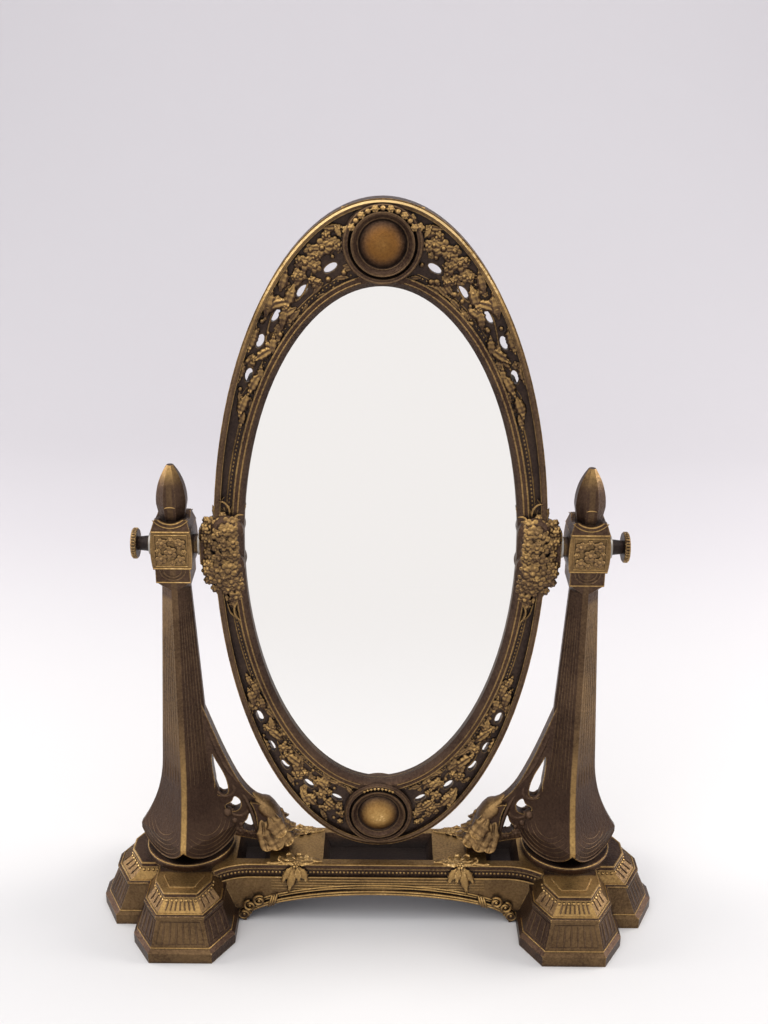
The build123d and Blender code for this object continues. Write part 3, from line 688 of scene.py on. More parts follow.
# Pedestals
pedestalTrim = {
    "beadRadius": 0.95, "beadSpacing": 2.5, "beadLine": (0.86, 31.2), "innerY": 25.5,
    # share of the way from the floor's outline to the deck's, height, and for a line its radius
    "lines": ((0.07, 6.1, 0.5), (0.15, 8.2, 0.5), (0.45, 24.6, 0.45), (0.52, 26.0, 0.5), (0.90, 32.6, 0.45),
              (0.90, 35.2, 0.55)),
    "plateInset": 2.6, "plateRadius": 0.5,
    # the two corners of each side, with how many bars or flutes stand between them
    "barSides": (
        (2, 3, 7), (1, 2, 3), (3, 4, 3), (12, 13, 7), (11, 12, 3), (13, 14, 3), (7, 8, 6), (6, 7, 3), (8, 9, 3),
    ),
    "barLow": (0.60, 27.6), "barHigh": (0.82, 31.0), "barRadius": 0.38,
    "fluteSides": (
        (1, 2, 3), (2, 3, 6), (3, 4, 3), (6, 7, 4), (7, 8, 5), (8, 9, 4), (11, 12, 3), (12, 13, 6), (13, 14, 3),
    ),
    "fluteLow": (0.19, 10.2), "fluteHigh": (0.445, 21.6), "fluteRadius": 0.55, "panelRadius": 0.36,
}


def atPost(x, y, z):  # a place given from the right post's axis
    return Vector((stand["postX"] + x, y, z))


def pedestalLine(share, z, inner=0.0):
    # lobed outline of the right pedestal from one side of the bridge round to the other
    floor, deck = stand["floorFront"] + stand["floorSide"], stand["deckFront"] + stand["deckSide"]
    reach, arm, deep, wide, side, sideArm, sideDeep, sideWide = [a + (b - a) * share for a, b in zip(floor, deck)]
    half = [
        (-arm, -inner), (-arm, -reach + deep), (-arm + wide, -reach), (arm - wide, -reach), (arm, -reach + deep),
        (arm, -sideArm), (side - sideDeep, -sideArm), (side, -sideArm + sideWide),
    ]
    return [atPost(x, y, z) for x, y in half + [(x, -y) for x, y in reversed(half)]]


def pedestalLines(work):
    trim = pedestalTrim
    for share, z, radius in trim["lines"]:
        work.rod(pedestalLine(share, z, trim["innerY"]), radius)
    for place, along in alongPath(pedestalLine(*trim["beadLine"], trim["innerY"]), trim["beadSpacing"]):
        work.put("bead", place, up, trim["beadRadius"], along)
    # plate on the deck's front and back lobes
    reach, arm, deep, wide = stand["deckFront"]
    inset = trim["plateInset"]
    half = [(arm - inset, 26.5), (arm - inset, reach - deep - 2.2), (arm - wide - 1.2, reach - 3.4)]
    for side in (-1, 1):
        plate = [atPost(x, side * y, stand["deckZ"] + 0.05) for x, y in [(-x, y) for x, y in half] + half[::-1]]
        work.rod(plate, trim["plateRadius"])


def upright(lines, first, second, share):  # places at one share of the way between two corners of each line
    return [line[first].lerp(line[second], share) for line in lines]


def pedestalFlutes(work):
    trim = pedestalTrim
    lines = [pedestalLine(*trim[key]) for key in ("barLow", "barHigh")]
    for first, second, count in trim["barSides"]:  # short upright bars on the frieze
        for number in range(count):
            work.rod(upright(lines, first, second, (number + 0.5) / count * 0.8 + 0.1), trim["barRadius"])
    low, high = lines = [pedestalLine(*trim[key]) for key in ("fluteLow", "fluteHigh")]
    for first, second, count in trim["fluteSides"]:
        for number in range(count):
            start, end = upright(lines, first, second, (number + 0.5) / count * 0.76 + 0.12)
            work.rod([start, start.lerp(end, 0.5), end], trim["fluteRadius"], ends=0.6)
        corners = ((low, 0.07), (high, 0.09), (high, 0.91), (low, 0.93))
        work.rod([line[first].lerp(line[second], share) for line, share in corners], trim["panelRadius"], closed=True)


for sideName, flips in sides:
    addPiece(sideName + "PedestalLines", "stand", "lines", pedestalLines, flips=flips)
    addPiece(sideName + "PedestalFlutes", "stand", "faint", pedestalFlutes, flips=flips)
print("pedestals done")


# Bridge: beads and reeds along the rails, arch ridges with their ties and curls, draped leaves
bridgeTrim = {
    "beadRadius": 0.85, "beadSpacing": 2.05, "beadZ": 29.4,
    "mouldings": (("crownY", 34.9, 88.0, 0.5), ("bandY", 31.4, 87.0, 0.35), ("railY", 26.8, 86.0, 0.45)),
    "reeds": (19.6, 21.4, 23.2, 25.0), "reedRadius": 0.42, "reedReach": 58.0,
    # how far each ridge lies outside the arch, how far before the rail, and its radius
    "archRidges": ((0.9, 1.35, 0.62), (2.5, 1.35, 0.62), (4.1, 0.1, 0.5), (5.7, 0.1, 0.62)), "archLowZ": 3.5,
    "tieX": 58.5, "tieSteps": (-1.3, 0.0, 1.3), "tieRadius": 0.75,
    "curls": ((64.8, 12.6, 0.7), (70.0, 9.4, 0.5), (73.2, 4.0, 0.25)), "curlTurns": 1.25, "curlRadius": 0.85,
    # hanging leaves: lean in degrees, drop, width and how far out; cup: lean and size; deck: how far back and span
    "leafX": 44.5, "hanging": ((-34, 11.0, 5.0, 0.5), (-10, 9.5, 4.6, 1.9), (14, 17.0, 5.6, 0.9), (42, 12.0, 4.6, 0.2)),
    "cup": ((-82, 8.0), (-45, 9.0), (-10, 8.5), (30, 9.5), (68, 11.0)),
    "deckLeaves": ((13.9, 33.0, 56.0), (14.2, 30.0, 44.0)), "deckLeafSize": (10.5, 7.5, 6.0),
}


def railLine(y, z, reach=88.0, flare=True):
    # along the front rail from left to right, following its flare at each end
    start, end, rise = stand["flareStart"], stand["flareEnd"], stand["flareRise"]
    radius = ((end - start) ** 2 + rise**2) / (2 * rise)
    half = []
    for number in range(25):
        x = reach * number / 24
        out = radius - math.sqrt(max(0.0, radius**2 - (x - start) ** 2)) if flare and x > start else 0.0
        half.append(Vector((x, -y - out, z)))
    return [Vector((-spot.x, spot.y, spot.z)) for spot in reversed(half[1:])] + half


def archLine(grow, y):
    wide, tall = stand["archSpan"] + grow, stand["archRise"] + grow
    angles = [math.pi * number / 60 for number in range(61)]
    points = [Vector((wide * math.cos(angle), -y, tall * math.sin(angle))) for angle in angles]
    return [spot for spot in points if spot.z > bridgeTrim["archLowZ"]]


def spiral(centre, start, turns, startRadius, endRadius, side=1):
    points = []
    for number in range(29):
        share = number / 28
        angle = start + side * 2 * math.pi * turns * share
        radius = startRadius + (endRadius - startRadius) * share
        points.append(Vector(centre) + Vector((radius * math.cos(angle), 0, radius * math.sin(angle))))
    return points


def railOrnament(work):
    trim, railY = bridgeTrim, stand["railY"]
    for place, along in alongPath(railLine(stand["bandY"] - 0.1, trim["beadZ"], 86.0), trim["beadSpacing"]):
        work.put("bead", place, front, trim["beadRadius"], along)
    for face, z, reach, radius in trim["mouldings"]:
        work.rod(railLine(stand[face], z, reach), radius)
    for z in trim["reeds"]:
        work.rod(railLine(railY + 0.05, z, trim["reedReach"], False), trim["reedRadius"], ends=0.4)
    for grow, lift, radius in trim["archRidges"]:
        work.rod(archLine(grow, railY + lift), radius)
    for side in (1, -1):
        # tie across the ridges, and the curls that run down from it to the foot
        for step in trim["tieSteps"]:
            x = side * (trim["tieX"] + step)
            angle = math.acos(abs(x) / stand["archSpan"])
            low = Vector((x, -railY - 1.5, stand["archRise"] * math.sin(angle) - 0.4))
            high = Vector((x - side * 2.2, -railY - 0.9, low.z + 6.6))
            middle = low.lerp(high, 0.5) + Vector((0, -1.1, 0))
            work.rod(smoothPath([low, middle, high], 4), trim["tieRadius"], ends=0.7)
        for x, z, start in trim["curls"]:
            centre = (side * x, -railY - 2.0, z)
            angle = math.pi * start if side > 0 else math.pi * (1 - start)
            work.rod(spiral(centre, angle, trim["curlTurns"], 3.3, 1.2, -side), trim["curlRadius"], ends=0.6)
            work.put("bead", centre, front, 1.1)


def drapedLeaves(work):  # leaves that hang over the rail from a bud on the deck, and the sprays beside it
    trim = bridgeTrim
    for side in (1, -1):
        top = Vector((side * trim["leafX"], -stand["railY"] - 0.2, 34.8))
        for lean, drop, wide, out in trim["hanging"]:
            slant = math.sin(side * math.radians(lean))
            start = top + Vector((slant * 2.6, -out * 0.5, -0.4))
            work.put("leaf", start, front, (drop, wide * 2.1, wide * 1.8), (slant * 0.9, -0.06, -1))
        for lean, size in trim["cup"]:
            slant = side * math.radians(lean)
            way = (math.sin(slant), math.cos(slant), 0.16)
            work.put("lobe", top + Vector((0, 0.4, 0.5)), up, (size, size * 1.5, size * 0.8), way)
        work.put("berries", top + Vector((0, -0.4, 0.7)), (0, -0.5, 1), 2.2)
        for back, start, end in trim["deckLeaves"]:
            for number in range(4):
                place = (side * (start + (end - start) * number / 4), -back, stand["deckZ"] - 0.1)
                work.put("leaf", place, up, trim["deckLeafSize"], (side, 0.25 * (-1) ** number, 0.05))


for sideName, flips in (("front", (1, 1, 1)), ("back", (1, -1, 1))):
    addPiece(sideName + "RailLines", "stand", "lines", railOrnament, flips=flips)
    addPiece(sideName + "RailLeaves", "stand", "goldLeaf", drapedLeaves, flips=flips, sharp=60)
print("bridge done")


# Posts
postTrim = {
    "reedShares": (-0.66, -0.4, -0.13, 0.13, 0.4, 0.66), "reedRadius": 0.3, "reedBottom": 80.0, "reedTop": 190.0,
    "rimInset": 0.5, "rimRadius": 0.55, "fanArcs": (2.6, 5.2, 7.8, 10.4, 13.0), "arcRadius": 0.26,
    "stepArcs": (6.4, 4.6), "discRing": 23.5, "lineRadius": 0.4, "panelHalf": 8.0, "panelInset": 1.5,
    # bouquet of the head: x and z from the pivot and size; a leaf has its heading instead
    "roses": ((0.2, -0.4, 3.8), (-4.7, 3.9, 3.3), (4.4, 4.2, 3.3), (-4.4, -4.6, 3.2), (4.8, -4.0, 3.4)),
    "berries": ((0, 5.8, 1.9), (-0.4, -6.2, 1.9), (6.3, 0.2, 1.7), (-6.2, -0.3, 1.7)),
    "leaves": ((-1.8, 2.8, -0.5, 1), (2.2, 2.6, 0.6, 1), (-2.4, -3.0, -0.9, -0.7), (2.6, -3.2, 0.5, -1)),
    "leafSize": (4.6, 5.5, 5.0),
}


def shaftHalf(z):
    width = post["waistHalf"] - post["topHalf"]
    run = Vector((width, post["waistZ"] - post["topZ"])).normalized()
    if z >= post["waistZ"]:
        return post["waistHalf"] + (z - post["waistZ"]) * run.x / run.y
    normal = Vector((-run.y, run.x))
    chord = Vector((post["tipHalf"] - post["waistHalf"], post["tipZ"] - post["waistZ"]))
    radius = chord.length_squared / (2 * chord.dot(normal))
    centre = Vector((post["waistHalf"], post["waistZ"])) + radius * normal
    return centre.x - math.sqrt(radius**2 - (z - centre.y) ** 2)

def faceHalf(z):
    return (shaftHalf(z) + post["ridgeCut"]) / math.sqrt(2)


def facePoint(angle, across, z, lift):
    # place on one of the shaft's four faces: the angle is that of the face's normal
    out = Vector((math.cos(angle), math.sin(angle), 0))
    level = Vector((-math.sin(angle), math.cos(angle), 0))
    return atPost(0, 0, z) + out * (faceHalf(z) + lift) + level * across


def shaftLines(work):
    trim = postTrim
    half = (post["tipHalf"] + post["ridgeCut"]) / math.sqrt(2)
    sag = post["tipZ"] - post["discZ"]
    fanRadius = (half**2 + sag**2) / (2 * sag)
    fanZ = post["discZ"] + fanRadius
    for side in (-1, 1):  # half rounds on the step under the head
        for radius in trim["stepArcs"]:
            leans = [math.pi * number / 12 for number in range(13)]
            work.rod([
                atPost(radius * math.cos(lean), side * post["stepHalf"],
                       post["blockZ"] - 0.8 - radius * math.sin(lean) * 0.9) for lean in leans
            ], 0.5, ends=0.7)
    for quarter in range(4):
        angle = math.pi / 4 + quarter * math.pi / 2
        for share in trim["reedShares"]:
            heights = [trim["reedBottom"] + (trim["reedTop"] - trim["reedBottom"]) * n / 8 for n in range(9)]
            work.rod([facePoint(angle, share * (shaftHalf(z) - 1.0) / math.sqrt(2), z, -0.14) for z in heights],
                     trim["reedRadius"], ends=0.45)
        for inset in (trim["rimInset"], *trim["fanArcs"]):
            radius = fanRadius - inset
            line = []
            for number in range(33):
                lean = math.radians(-75 + 150 * number / 32)
                across, z = radius * math.sin(lean), fanZ - radius * math.cos(lean)
                level = max(z, post["tipZ"])
                if abs(across) < faceHalf(level) - 1.6 and z < post["waistZ"]:
                    line.append(facePoint(angle, across, level, -0.1) + Vector((0, 0, min(0.0, z - post["tipZ"]))))
            work.rod(line, trim["rimRadius"] if inset < 1 else trim["arcRadius"], ends=0.6)


def onBlock(side, x, z, lift=0.0):  # place on the bulging front or back face of the block
    share = (z - post["pivotZ"]) / (post["blockTopZ"] - post["pivotZ"])
    return atPost(x, side * (post["blockHalf"] + post["bulge"] * (1 - min(1.0, share**2)) + lift), z)


def headLines(work):  # rim of the foot disc, border and rims of the block, arcs of the cap, edge of the bud
    trim = postTrim
    thin = trim["lineRadius"]
    reach, discZ = trim["discRing"], post["discZ"] - 0.35
    angles = [math.pi * number / 48 for number in range(96)]
    work.rod([atPost(reach * math.cos(angle), reach * math.sin(angle), discZ) for angle in angles], 0.36, closed=True)
    low, high = post["blockZ"] + trim["panelInset"], post["blockTopZ"] - trim["panelInset"]
    wide = trim["panelHalf"]
    for side in (-1, 1):
        for x in (-wide, wide):
            work.rod([onBlock(side, x, low + (high - low) * step / 6) for step in range(7)], thin)
        for z in (low, high):
            work.rod([onBlock(side, -wide, z), onBlock(side, wide, z)], thin)
        for half, y, z, radius in ((9.5, 9.55, post["blockZ"] + 0.1, 0.55), (9.5, 9.8, post["blockTopZ"] + 0.1, 0.55),
                                   (8.5, 8.6, post["stepZ"] + 0.2, thin)):
            work.rod([atPost(-half, side * y, z), atPost(half, side * y, z)], radius)
        for radius, thick in ((post["scoopRadius"] + 0.5, 0.5), (post["scoopRadius"] + 2.2, 0.38)):
            line = []
            for number in range(25):
                lean = math.radians(40 + 100 * number / 24)
                z = post["capZ"] + post["scoopLift"] - radius * math.sin(lean)
                if post["blockTopZ"] + 0.4 < z < post["capZ"] - 0.1:
                    share = (z - post["blockTopZ"]) / (post["capZ"] - post["blockTopZ"])
                    y = post["capLow"] + (post["capHigh"] - post["capLow"]) * share
                    line.append(atPost(radius * math.cos(lean), side * y, z))
            if len(line) > 2:
                work.rod(line, thick, ends=0.6)
        # bright edge under the front facets of the bud
        crescent = [atPost(x, side * 7.1, 237.6 + 0.07 * (9 - x**2) - 0.4) for x in (-2.6, -1.3, 0, 1.3, 2.6)]
        work.rod(crescent, thin, ends=0.3)


def headFlowers(work):  # bouquet in the bordered panel
    trim, pivotZ = postTrim, post["pivotZ"]
    for side in (-1, 1):
        for x, z, size in trim["roses"]:
            work.put("rose", onBlock(side, x, pivotZ + z), (0, side, 0), (size, size, size * 0.95), (1, 0, 0))
        for x, z, size in trim["berries"]:
            work.put("berries", onBlock(side, x, pivotZ + z, -0.2), (0, side, 0), size)
        for x, z, dx, dz in trim["leaves"]:
            work.put("leaf", onBlock(side, x, pivotZ + z, -0.2), (0, side, 0), trim["leafSize"], (dx, 0, dz))


bracketTrim = {
    # folds: distance from the post's axis, height, side shift, heading down and out, length and width
    "lobes": (
        (45.5, 57.5, 0.0, -57, 15.0, 13.0), (48.5, 51.5, 0.0, -55, 14.0, 12.5), (43.5, 58.5, 5.4, -57, 13.5, 11.5),
        (42.0, 55.0, 4.9, -68, 17.5, 12.0), (39.4, 55.5, 4.6, -82, 18.0, 10.0), (46.5, 52.5, 4.2, -54, 14.5, 10.5),
    ),
    "bud": (41.8, 61.2), "budSize": (10.0, 5.0, 6.9),
    # hooks and stems: distance, height and side shift of each place, then radius and how thin the ends are
    "curls": (
        (((22.5, 81, 1.6), (24.8, 74.5, 1.9), (23.2, 70.2, 2.0), (18.6, 68.8, 1.9), (15.6, 71.8, 1.7)), 1.5, 0.5),
        (((31.0, 66, 1.8), (32.0, 60.5, 2.0), (28.6, 56.8, 2.0), (24.2, 57.4, 1.9), (23.4, 60.4, 1.8)), 1.5, 0.5),
        (((28.5, 72, 2.0), (32.5, 64.5, 2.6), (35.0, 56.0, 2.8), (37.0, 47.0, 3.0), (39.5, 40.0, 3.0)), 1.5, 0.6),
        (((10.6, 120, 1.4), (13.2, 108, 1.7), (17.2, 96, 1.8), (22.2, 85, 1.9), (29.0, 75.5, 2.0)), 1.6, 0.6),
    ),
    "balls": ((20.6, 58.6, 3.2), (24.5, 53.4, 2.4), (28.0, 51.0, 1.9)), "ballShift": 1.8,
    "roses": ((27.5, 46.8, 3.6), (33.4, 44.8, 3.0), (21.8, 48.2, 3.2)), "roseShift": 2.4,
}


def bracketLeaf(work):  # the folded leaf that stands on the deck, and the smooth bud above its folds
    for distance, height, shift, lean, length, width in bracketTrim["lobes"]:
        for side in (-1, 1) if shift else (1,):
            slant = math.radians(lean)
            along = (-math.cos(slant), side * 0.1 if shift else 0.0, math.sin(slant))
            outward = (-0.35, side, 0.25) if shift else (math.sin(slant), 0, math.cos(slant))
            place = atPost(-distance, side * shift, height)
            work.put("lobe", place, outward, (length, width * 2.6, width * 2.0), along)
    distance, height = bracketTrim["bud"]
    work.put("bud", atPost(-distance, 0.0, height), (0, 1, 0), bracketTrim["budSize"], (-0.67, 0, -0.74))


def bracketCurls(work):  # hooks, balls and rosettes in the openings of the bracket
    trim = bracketTrim
    for side in (-1, 1):
        for path, radius, ends in trim["curls"]:
            spots = [atPost(-distance, side * shift, height) for distance, height, shift in path]
            work.rod(smoothPath(spots), radius, ends=ends, sides=2)
        for distance, height, size in trim["balls"]:
            work.put("bead", atPost(-distance, side * trim["ballShift"], height), (0, side, 0), size)
        for distance, height, size in trim["roses"]:
            place = atPost(-distance, side * trim["roseShift"], height)
            work.put("rose", place, (0, side, 0), (size, size, size * 0.8))


for sideName, flips in sides:
    addPiece(sideName + "ShaftLines", "stand", "faint", shaftLines, flips=flips)
    addPiece(sideName + "HeadLines", "stand", "lines", headLines, flips=flips)
    addPiece(sideName + "HeadFlowers", "stand", "leaf", headFlowers, flips=flips, sharp=60, grain=0.22)
    addPiece(sideName + "BracketLeaf", "stand", "leaf", bracketLeaf, flips=flips, sharp=60, grain=0.28)
    addPiece(sideName + "BracketCurls", "stand", "faint", bracketCurls, flips=flips, sharp=60, grain=0.3)
print("posts done")


# Mirror frame
frameTrim = {
    "rimRadius": 1.3, "rimInset": -1.65, "beadRadius": 0.66, "beadSpacing": 2.1,
    # rings of each medallion: radius, place before the middle and thickness
    "rings": ((17.5, -6.3, 0.5), (14.2, -6.95, 0.4), (11.6, -5.4, 0.4)), "crownReach": 16.0, "lowReach": 16.3,
    # over the top medallion: x and z from the frame's centre and size; a leaf has its heading before its size
    "crownRoses": ((-12.5, 161.3, 2.3), (-8.7, 166.0, 1.9), (7.7, 165.4, 1.9), (13.0, 164.0, 2.2), (16.6, 160.0, 2.4),
                   (-16.4, 158.6, 2.4), (-3.5, 168.6, 1.6), (2.8, 168.6, 1.6)),
    "crownLeaves": ((-12.0, 167.0, -1, 0.2, 7.0), (12.0, 167.0, 1, 0.2, 7.0), (-18.6, 155.0, -0.6, 1.0, 6.5),
                    (18.6, 155.0, 0.6, 1.0, 6.5), (0, 169.4, 1, 0, 5.0), (0, 169.4, -1, 0, 5.0)),
}


def onFrame(x, y, z):  # a place given from the frame's centre
    return Vector((x, y, mirror["z"] + z))


def onOval(angle, share, y):
    # place on the band: share 0 is the opening's edge, 1 the outer edge
    inner, outer = mirror["inner"], mirror["outer"]
    wide = inner[0] + (outer[0] - inner[0]) * share
    tall = inner[1] + (outer[1] - inner[1]) * share
    turnAngle = math.radians(angle)
    return onFrame(wide * math.cos(turnAngle), y, tall * math.sin(turnAngle))


def oval(grow, y, start=0.0, end=360.0, inner=True, count=180):
    wide, tall = mirror["inner"] if inner else mirror["outer"]
    points = []
    for number in range(count + (end - start < 360)):
        angle = math.radians(start + (end - start) * number / count)
        points.append(onFrame((wide + grow) * math.cos(angle), y, (tall + grow) * math.sin(angle)))
    return points


def clearOfMedallions(place, gap):
    centres = [onFrame(0, place.y, sign * mirror["medallionZ"]) for sign in (1, -1)]
    return all((place - centre).length >= mirror["medallionR"] + gap for centre in centres)


def openRuns(points, gap):  # the stretches of a closed line that keep clear of the medallions
    runs, current = [], []
    for spot in points:
        if clearOfMedallions(spot, gap):
            current.append(spot)
        elif current:
            runs.append(current)
            current = []
    if current:
        runs.append(current)
    return [run for run in runs if len(run) > 3]


def frameRim(work):
    work.rod(oval(frameTrim["rimInset"], mirror["rimY"] + 0.75, inner=False), frameTrim["rimRadius"],
             closed=True, sides=2)


def frameLines(work):
    lip, band, width = mirror["lipY"], mirror["bandY"], mirror["lipWidth"]
    for grow, y, radius in (
        (mirror["coveWidth"] + 0.6, lip + 0.05, 0.42), (width - 0.5, lip + 0.1, 0.42), (width + 2.9, band + 0.05, 0.36),
    ):
        for run in openRuns(oval(grow, y, 90, 450), 0.3):
            work.rod(run, radius, ends=0.7)
    for place, along in alongPath(oval(width + 1.6, band + 0.1), frameTrim["beadSpacing"], True):
        if clearOfMedallions(place, 1.0):
            work.put("bead", place, front, frameTrim["beadRadius"], along)


def medallionTrim(work):
    angles = [math.pi * number / 32 for number in range(64)]
    for sign in (1, -1):
        centre = onFrame(0, 0, sign * mirror["medallionZ"])
        for radius, y, thick in frameTrim["rings"]:
            ring = [centre + Vector((radius * math.cos(angle), y, radius * math.sin(angle))) for angle in angles]
            work.rod(ring, thick, closed=True)


def crownFlowers(work):
    # buds and berries over the top medallion, and a row of beads along the upper side of each ring
    trim = frameTrim
    top, low = [mirror["z"] + sign * mirror["medallionZ"] for sign in (1, -1)]
    for number in range(11):
        angle, reach = math.radians(28 + 124 * number / 10), trim["crownReach"]
        spot = (reach * math.cos(angle), -6.4, top + reach * math.sin(angle))
        work.put("bead" if number % 2 else "berries", spot, front, 1.5 if number % 2 else 1.9)
    for x, z, size in trim["crownRoses"]:
        work.put("rose", onFrame(x, -5.2, z), front, size)
    for x, z, dx, dz, size in trim["crownLeaves"]:
        work.put("leaf", onFrame(x, -4.4, z), front, size, (dx, 0, dz))
    for number in range(9):
        angle, reach = math.radians(62 + 56 * number / 8), trim["lowReach"]
        work.put("bead", (reach * math.cos(angle), -6.3, low + reach * math.sin(angle)), front, 0.9)


def bandPlace(angle, share, lift):
    along = (onOval(angle + 0.5, share, 0) - onOval(angle - 0.5, share, 0)).normalized()
    return onOval(angle, share, mirror["bandY"] - lift), along


def bandHeading(along, lean):
    slant = math.radians(lean)
    return along * math.cos(slant) + along.cross(front) * math.sin(slant)


def clearOfHoles(place, along, holes, long, wide):  # true where no pierced hole lies under the place
    for angle, share in holes:
        away = place - onOval(angle, share, place.y)
        if abs(away.dot(along)) < long and abs(away.dot(along.cross(front))) < wide:
            return False
    return True


# Flora of one upper and one lower quarter: angle round the frame, share across the band and size, and for
# leaves their heading
topFlora = {
    "holes": mirror["topHoles"],
    "roses": (
        (69.4, 0.7, 5), (72.6, 0.66, 4), (68.6, 0.48, 3.6), (65.6, 0.78, 3.8), (63.2, 0.7, 4.4), (66.2, 0.56, 3.8),
        (61, 0.62, 3.4), (75.2, 0.6, 3.4),
    ),
    "berries": (
        (71.2, 0.8, 2.6), (67.2, 0.66, 2.6), (61.6, 0.8, 2.6), (64.4, 0.44, 2.4), (59, 0.68, 2.2), (75.6, 0.78, 2.4),
        (57, 0.56, 2), (66.4, 0.36, 1.9),
    ),
    "leaves": (
        (62.6, 0.34, 12, 172), (57.2, 0.34, 11, 160), (58.4, 0.62, 11.5, 200), (55.6, 0.5, 11.5, 140),
        (53.2, 0.74, 11, 16), (52, 0.78, 14, 196), (47.2, 0.46, 13, 166), (46.6, 0.74, 14, 14), (46, 0.3, 11, 150),
        (44.2, 0.26, 10, 20), (40.2, 0.46, 11.5, 28), (39.4, 0.78, 11, 8), (38.8, 0.36, 11.5, 172), (37, 0.26, 9, 16),
        (32.6, 0.8, 10, 10), (32.4, 0.5, 11, 176), (73.2, 0.36, 9, 168), (66.8, 0.28, 10, 14), (76.4, 0.8, 8, 160),
        (30.4, 0.62, 9, 190), (50.4, 0.34, 10, 24), (43, 0.84, 11, 186), (36, 0.84, 10, 184), (29, 0.46, 8, 180),
    ),
}
lowFlora = {
    "holes": mirror["lowHoles"],
    "roses": (
        (66, 0.56, 3.6), (63.6, 0.44, 3), (55.8, 0.6, 3.8), (47.6, 0.5, 3.6), (68.8, 0.7, 3.4), (39.8, 0.6, 3.2),
        (75.4, 0.66, 3),
    ),
    "berries": (
        (69, 0.44, 2.2), (62.8, 0.72, 2.2), (58, 0.46, 2.2), (53.4, 0.52, 2), (45.8, 0.68, 2), (41.4, 0.46, 2),
        (74.8, 0.8, 2), (34, 0.56, 1.8),
    ),
    "leaves": (
        (65.4, 0.78, 11, 188), (57.6, 0.74, 12, 16), (56.6, 0.4, 12, 168), (52, 0.42, 11, 20), (53, 0.8, 12, 190),
        (46.6, 0.4, 11, 160), (46, 0.86, 10.5, 184), (47.6, 0.62, 9, 24), (40.8, 0.5, 12, 172), (39.6, 0.84, 11, 6),
        (39, 0.4, 10, 14), (33.4, 0.66, 11, 180), (33, 0.44, 10, 176), (30.6, 0.76, 9, 8), (69.6, 0.32, 9.5, 166),
        (63, 0.34, 10, 10), (72.8, 0.62, 9, 190), (29.4, 0.56, 8, 176), (36.4, 0.48, 9, 190),
    ),
}
bandTrim = {
    # lift over the band, how much of its size a flower keeps off the holes, and its height; the gaps are half
    # the length and width of what stays free round a hole
    "flowers": (("rose", "roses", 0.3, 0.5, 0.95), ("berries", "berries", 0.4, 0.7, 1.2)),
    "flowerGap": (3.2, 1.6), "leafGap": (3.9, 2.4), "sprigGap": (4.4, 2.6), "medallionGap": 1.5,
    "leafLift": 0.2, "leafStretch": 1.12, "leafParts": (1.0, 0.8, 0.6),
    "sprigs": 120, "beadShare": 0.42, "leafShare": 0.82, "stemRadius": 0.6,
}


def bandFlora(work, flora, seed):
    # one quarter of the band: flowers by the medallion, then buds, leaves and berries towards the side
    trim, holes = bandTrim, flora["holes"]
    dice = random.Random(seed)

    def put(stamp, angle, share, size, lean=0.0, lift=0.0):
        place, along = bandPlace(angle, share, lift)
        work.put(stamp, place, front, size, bandHeading(along, lean))

    def leafIsClear(angle, share, length, lean):
        place, along = bandPlace(angle, share, trim["leafLift"])
        heading = bandHeading(along, lean)
        spots = [place + heading * (length * part) for part in (0.1, 0.3, 0.5, 0.7, 0.9)]
        return all(clearOfHoles(spot, along, holes, *trim["leafGap"]) for spot in spots)

    for stamp, key, lift, spread, tall in trim["flowers"]:
        for angle, share, size in flora[key]:
            place, along = bandPlace(angle, share, lift)
            long, wide = [gap + size * spread for gap in trim["flowerGap"]]
            if clearOfHoles(place, along, holes, long, wide):
                put(stamp, angle, share, (size, size, size * tall), lift=lift)
    for angle, share, size, lean in flora["leaves"]:
        for part in trim["leafParts"]:  # a leaf that would cover a pierced hole is made shorter
            length = size * part * trim["leafStretch"]
            if leafIsClear(angle, share, length, lean):
                sizes = (length, size * 1.05 * part**0.5, size * 1.15 * part)
                put("leaf", angle, share, sizes, lean, trim["leafLift"])
                break
    # small sprigs, beads and buds that fill what the listed ones leave
    for _ in range(trim["sprigs"]):
        angle, share = 29 + 47 * dice.random(), 0.16 + 0.66 * dice.random()
        place, along = bandPlace(angle, share, 0.0)
        if not clearOfHoles(place, along, holes, *trim["sprigGap"]):
            continue
        if not clearOfMedallions(place, trim["medallionGap"]):
            continue
        kind = dice.random()
        if kind < trim["beadShare"]:
            put("bead", angle, share, 1.0 + 0.7 * dice.random())
        elif kind < trim["leafShare"]:
            size = 5.0 + 3.0 * dice.random()
            lean = dice.choice((0, 180)) + 60 * (dice.random() - 0.5)
            if leafIsClear(angle, share, size * 1.1, lean):
                put("leaf", angle, share, (size * 1.1, size, size), lean)
        else:
            put("rose", angle, share, 1.6 + 0.9 * dice.random())
    stem = [onOval(75 - 47 * n / 16, 0.52 + 0.13 * math.sin(n * 0.9), mirror["bandY"]) for n in range(17)]
    work.rod(smoothPath(stem, 3), trim["stemRadius"], ends=0.4)


